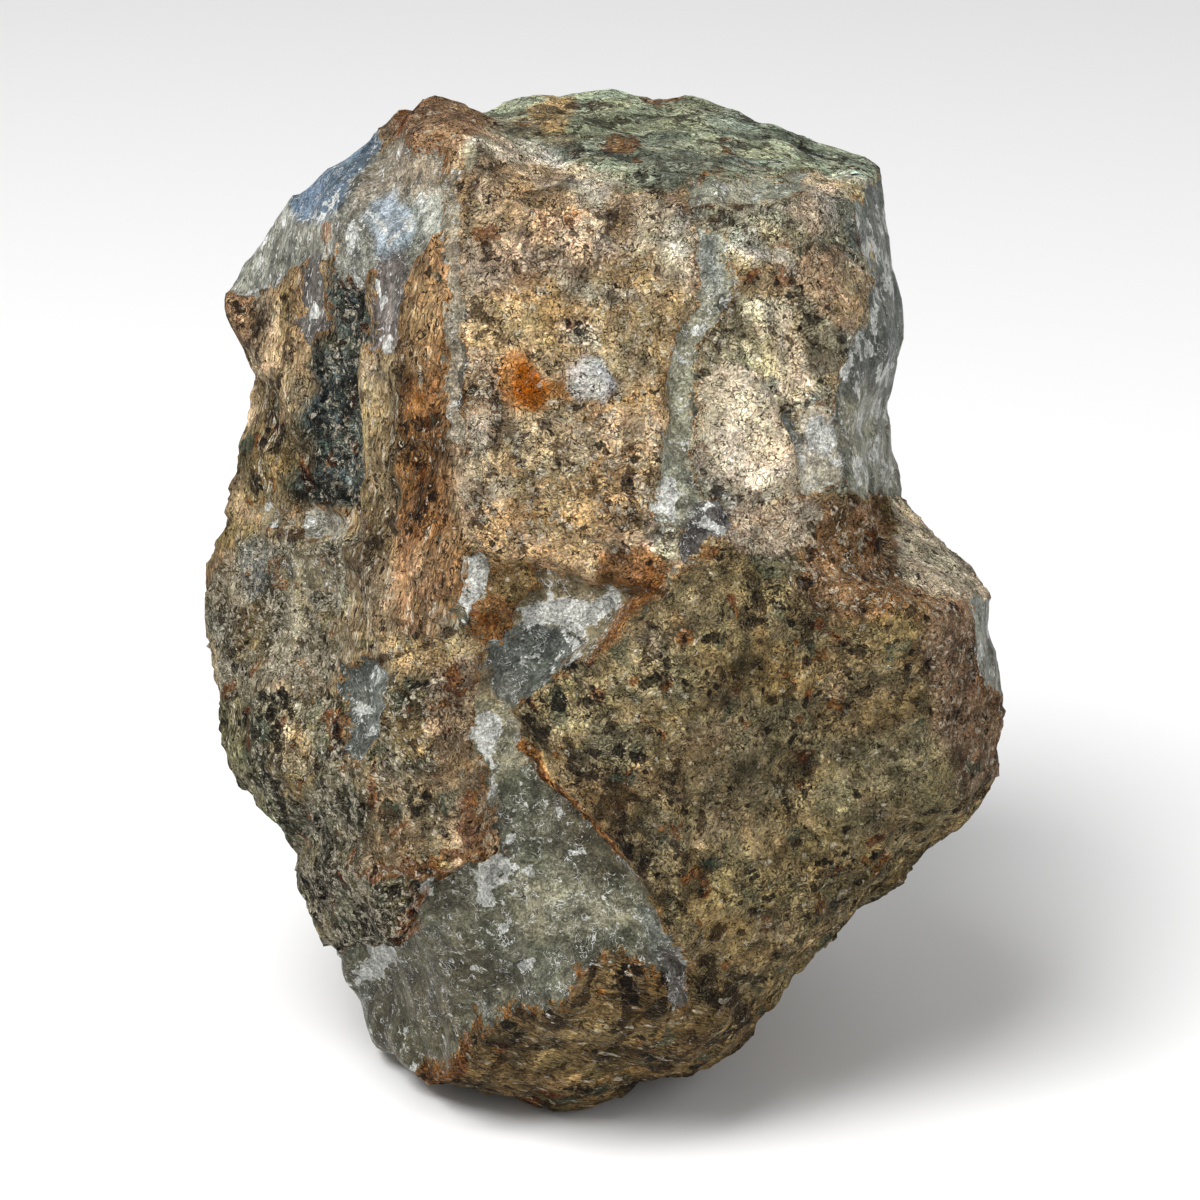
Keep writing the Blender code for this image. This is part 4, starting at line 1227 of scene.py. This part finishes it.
def rock_colour(n, grain, shares):
    """Host rock: the painted colour under stains, accents, crumbs, sand, worm-like painted shade and painted
    highlights, creases of painted shade with painted highlights beside them, painted shade in small holes, and curls.
    """
    colour = n.mix(1.0, n.colour("rock_colour"), grain.tint, "MULTIPLY")
    rim = n.ramp(n.math("ADD", n.value("seam"), grain.ragged), -0.7, -0.1)
    stained = n.math("MULTIPLY", rim, n.ramp(grain.clumps, 0.44, 0.56, 0.0, 0.65))
    colour = n.mix(stained, colour, paint_value(RUST_STAIN))
    rust = n.mix(n.ramp(grain.clumps, 0.42, 0.58), paint_value(DEEP_RUST), paint_value(RUST_STAIN))
    colour = n.mix(n.math("MULTIPLY", shares["rust"], 0.75), colour, rust)
    colour = n.mix(n.math("MULTIPLY", shares["dark"], 0.9), colour, DARKENED_SPOT_AND_SHADE, "MULTIPLY")
    colour = n.mix(shares["light"], colour, LIGHTENED_SPOT_AND_HIGHLIGHT, "MULTIPLY")
    colour = n.mix(n.math("MULTIPLY", shares["green"], 0.6), colour, paint_value(GREEN_STAIN))
    fleck = n.math("MULTIPLY_ADD", n.value("pale"), 0.45, n.math("MULTIPLY_ADD", grain.clumps, 0.7, grain.crumb))
    colour = n.mix(n.ramp(fleck, 1.33, 1.43, 0.0, 0.6), colour, paint_value(PALE_ROCK))
    colour = shaded(n, colour, grain.crumb, 0.1, 0.9, 0.84, 1.15)
    colour = shaded(n, colour, grain.pit, 0.2, 0.8, 0.8, 1.2)
    # Worm-like marks: painted shade on their dark side and painted highlights on their light side, over the same
    # worms that the bump raises.
    strong = n.ramp(n.value("grit"), 0.05, 0.9, 0.2, 0.85)
    worm_shade = n.math("MULTIPLY", n.ramp(grain.worms, -1.0, 0.0, 1.0, 0.0), strong)
    colour = n.mix(worm_shade, colour, DARKENED_SPOT_AND_SHADE, "MULTIPLY")
    worm_highlights = n.math("MULTIPLY", n.ramp(grain.worms, 0.4, 1.0), strong)
    colour = n.mix(worm_highlights, colour, LIGHTENED_SPOT_AND_HIGHLIGHT, "MULTIPLY")
    colour = shaded(n, colour, grain.sand, 0.34, 0.56, 0.54, 1.3)
    # A painted highlight along one edge of each crease.
    crease_highlight = n.math("MULTIPLY", thin_lines(n, grain.crease, 0.535, 0.022), 0.15)
    colour = n.mix(crease_highlight, colour, paint_value(CREAM_CURL_AND_HIGHLIGHT))
    # Painted shade down the creases.
    crease = n.math("MULTIPLY", thin_lines(n, grain.crease, 0.5, 0.03), n.ramp(grain.share, 0.46, 0.6, 0.9, 0.0))
    colour = n.mix(crease, colour, paint_value(CREASE_SHADE))
    # Painted shade in small holes where crumbs fell out.
    reach = n.math("MULTIPLY_ADD", n.value("grit"), 0.8, n.math("MULTIPLY", grain.pit, 0.8))
    reach = n.math("MULTIPLY_ADD", grain.clumps, -1.3, n.math("ADD", reach, -0.08))
    pit_shade = n.ramp(n.math("SUBTRACT", reach, grain.pit_distance), -0.03, 0.05)
    colour = n.mix(n.math("MULTIPLY", pit_shade, 0.85), colour, paint_value(PIT_SHADE))
    wanted = n.math("MULTIPLY_ADD", n.value("pale"), 0.15, grain.share)
    curls = n.math("MULTIPLY", thin_lines(n, grain.curl, 0.5, 0.024), n.ramp(wanted, 0.64, 0.7, 0.0, 0.85))
    colour = n.mix(curls, colour, paint_value(CREAM_CURL_AND_HIGHLIGHT))
    return colour


def seam_colour(n, grain, shares):
    """Chalcedony: the painted colour in cloudy patches, with painted shade in small holes and creases, painted glints
    on the sugary crystals, and the lace's lines.
    """
    colour = n.mix(n.math("MULTIPLY", shares["dark"], 0.75), n.colour("seam_colour"), paint_value(DARK_SEAM_AND_CREASE_SHADE))
    colour = n.mix(n.math("MULTIPLY", shares["light"], 0.85), colour, paint_value(PALE_SEAM_AND_GLINT))
    colour = n.mix(n.math("MULTIPLY", shares["rust"], 0.6), colour, paint_value(RUST_STAIN))
    lace = n.value("lace")
    lines = n.math("MULTIPLY_ADD", grain.clumps, 0.8, n.value("seam"))
    broad = n.ramp(n.math("SINE", n.math("MULTIPLY", lines, 2.1)), -0.4, 0.6, 0.0, 0.5)
    colour = n.mix(n.math("MULTIPLY", lace, broad), colour, paint_value(LACE_BLUE))
    fine = n.ramp(n.math("SINE", n.math("MULTIPLY", lines, 7.5)), 0.15, 0.75, 0.0, 0.5)
    colour = n.mix(n.math("MULTIPLY", lace, fine), colour, paint_value(LACE_WHITE))
    colour = shaded(n, colour, grain.clumps, 0.47, 0.53, 0.78, 1.22)
    colour = shaded(n, colour, grain.pit, 0.2, 0.8, 0.84, 1.14)
    colour = shaded(n, colour, grain.sand, 0.36, 0.62, 0.6, 1.4)
    # Painted shade in small holes in the chalcedony.
    reach = n.math("MULTIPLY", n.math("MULTIPLY", grain.pit, n.value("grit")), 0.5)
    seam_pit_shade = n.ramp(n.math("SUBTRACT", reach, grain.pit_distance), -0.03, 0.05)
    colour = n.mix(n.math("MULTIPLY", seam_pit_shade, 0.7), colour, paint_value(PIT_SHADE))
    # Painted shade down fine creases in the chalcedony.
    crease = n.math("MULTIPLY", thin_lines(n, grain.crease, 0.5, 0.02), n.ramp(grain.share, 0.42, 0.5, 0.45, 0.0))
    colour = n.mix(crease, colour, paint_value(DARK_SEAM_AND_CREASE_SHADE))
    # Painted glints: short white dashes on the sugary crystals.
    sugar_glints = n.math("MULTIPLY", thin_lines(n, grain.curl, 0.5, 0.028), n.ramp(grain.share, 0.49, 0.55, 0.0, 0.8))
    return n.mix(sugar_glints, colour, paint_value(SUGAR_GLINT))


def stone_finish(name):
    """Rock and chalcedony in one shader, parted by the seam's distance with a ragged edge."""
    material = bpy.data.materials.new(name)
    material.use_nodes = True
    n = Nodes(material)
    shader = material.node_tree.nodes["Principled BSDF"]
    shader.inputs["Specular IOR Level"].default_value = 0.12
    grain = Grain(n, n.add("ShaderNodeTexCoord").outputs["Object"])
    shares = {field: field_share(n, grain, field) for field in ("seam", *ACCENTS)}
    rock_paint = rock_colour(n, grain, shares)
    seam_paint = seam_colour(n, grain, shares)
    links = material.node_tree.links
    links.new(n.mix(shares["seam"], rock_paint, seam_paint), shader.inputs["Base Color"])
    rough_rock = n.ramp(grain.sand, 0.3, 0.7, 0.95, 0.78)
    rough_seam = n.ramp(grain.sand, 0.3, 0.7, 0.3, 0.5)
    roughness = n.add("ShaderNodeMix", {0: shares["seam"], 2: rough_rock, 3: rough_seam})
    links.new(roughness.outputs[0], shader.inputs["Roughness"])
    rock_height = n.math("MULTIPLY_ADD", grain.sand, 1.4, n.math("MULTIPLY", grain.crumb_distance, -0.7))
    crease = thin_lines(n, grain.crease, 0.5, 0.03)
    rock_height = n.math("MULTIPLY_ADD", crease, -0.3, rock_height)
    rock_height = n.math("MULTIPLY_ADD", grain.worms, 0.18, rock_height)
    height = n.math("MULTIPLY", rock_height, n.ramp(n.value("seam"), -0.2, 0.2, 1.0, 0.4))
    bump = n.add("ShaderNodeBump", {"Height": height, "Strength": 1.0, "Distance": 0.0005})
    links.new(bump.outputs["Normal"], shader.inputs["Normal"])
    return material


geode.data.materials.append(stone_finish("rough_stone"))
print("finish:", len(geode.data.materials[0].node_tree.nodes), "nodes")

# %% [markdown]
# The stone stands on a plain pale floor in soft studio light. The floor is wide enough to fill the
# picture, so there is no horizon. A large lamp at the upper left gives the faces their different
# tones, and the bright surroundings fill the shadows.

# %% Floor, light and camera
FLOOR_HALF = 2.0  # metres from the middle of the floor to its edge


def plain_floor():
    """One flat square in a near-white matt finish."""
    mesh = bpy.data.meshes.new("floor")
    corners = [(-1, -1), (1, -1), (1, 1), (-1, 1)]
    mesh.from_pydata([(x * FLOOR_HALF, y * FLOOR_HALF, 0.0) for x, y in corners], [], [(0, 1, 2, 3)])
    floor = bpy.data.objects.new("floor", mesh)
    bpy.context.scene.collection.objects.link(floor)
    material = bpy.data.materials.new("floor_white")
    material.use_nodes = True
    shader = material.node_tree.nodes["Principled BSDF"]
    shader.inputs["Base Color"].default_value = (0.9, 0.9, 0.9, 1.0)
    shader.inputs["Roughness"].default_value = 0.9
    mesh.materials.append(material)
    return floor


def sight_direction(azimuth, elevation):
    """From the stone towards a place round it: azimuth from the viewer to the right, and elevation."""
    turn, rise = radians(azimuth), radians(elevation)
    return np.array([sin(turn) * cos(rise), -cos(turn) * cos(rise), sin(rise)])


def aim(thing, place, target):
    """Put a lamp or camera at a place, looking at the target."""
    thing.location = place
    thing.rotation_euler = Vector(np.array(target) - np.array(place)).to_track_quat("-Z", "Y").to_euler()


def soft_lamp(name, azimuth, elevation, distance, size, watts, target):
    """A square area lamp."""
    lamp = bpy.data.lights.new(name, "AREA")
    lamp.size = size
    lamp.energy = watts
    thing = bpy.data.objects.new(name, lamp)
    bpy.context.scene.collection.objects.link(thing)
    aim(thing, np.array(target) + sight_direction(azimuth, elevation) * distance, target)
    return thing


floor = plain_floor()
middle = np.array([-REST_CENTRE[0], -REST_CENTRE[1], REST_DEPTH]) / 1000.0
soft_lamp("key", -38, 58, 0.9, 0.5, 10.0, middle)
soft_lamp("fill", 55, 25, 1.0, 0.8, 2.0, middle)

world = bpy.data.worlds.new("studio")
bpy.context.scene.world = world
world.use_nodes = True
world.node_tree.nodes["Background"].inputs["Color"].default_value = (1.0, 1.0, 1.0, 1.0)
world.node_tree.nodes["Background"].inputs["Strength"].default_value = 0.42

camera = bpy.data.cameras.new("camera")
camera.sensor_width = 36.0
camera.lens = camera.sensor_width * SIGHT_DISTANCE / 120.0
camera_object = bpy.data.objects.new("camera", camera)
bpy.context.scene.collection.objects.link(camera_object)
aim(camera_object, middle + sight_direction(0, LEAN) * SIGHT_DISTANCE / 1000.0, middle)
bpy.context.scene.camera = camera_object
bpy.context.scene.view_settings.view_transform = "Standard"
print("lens:", camera.lens, "mm")
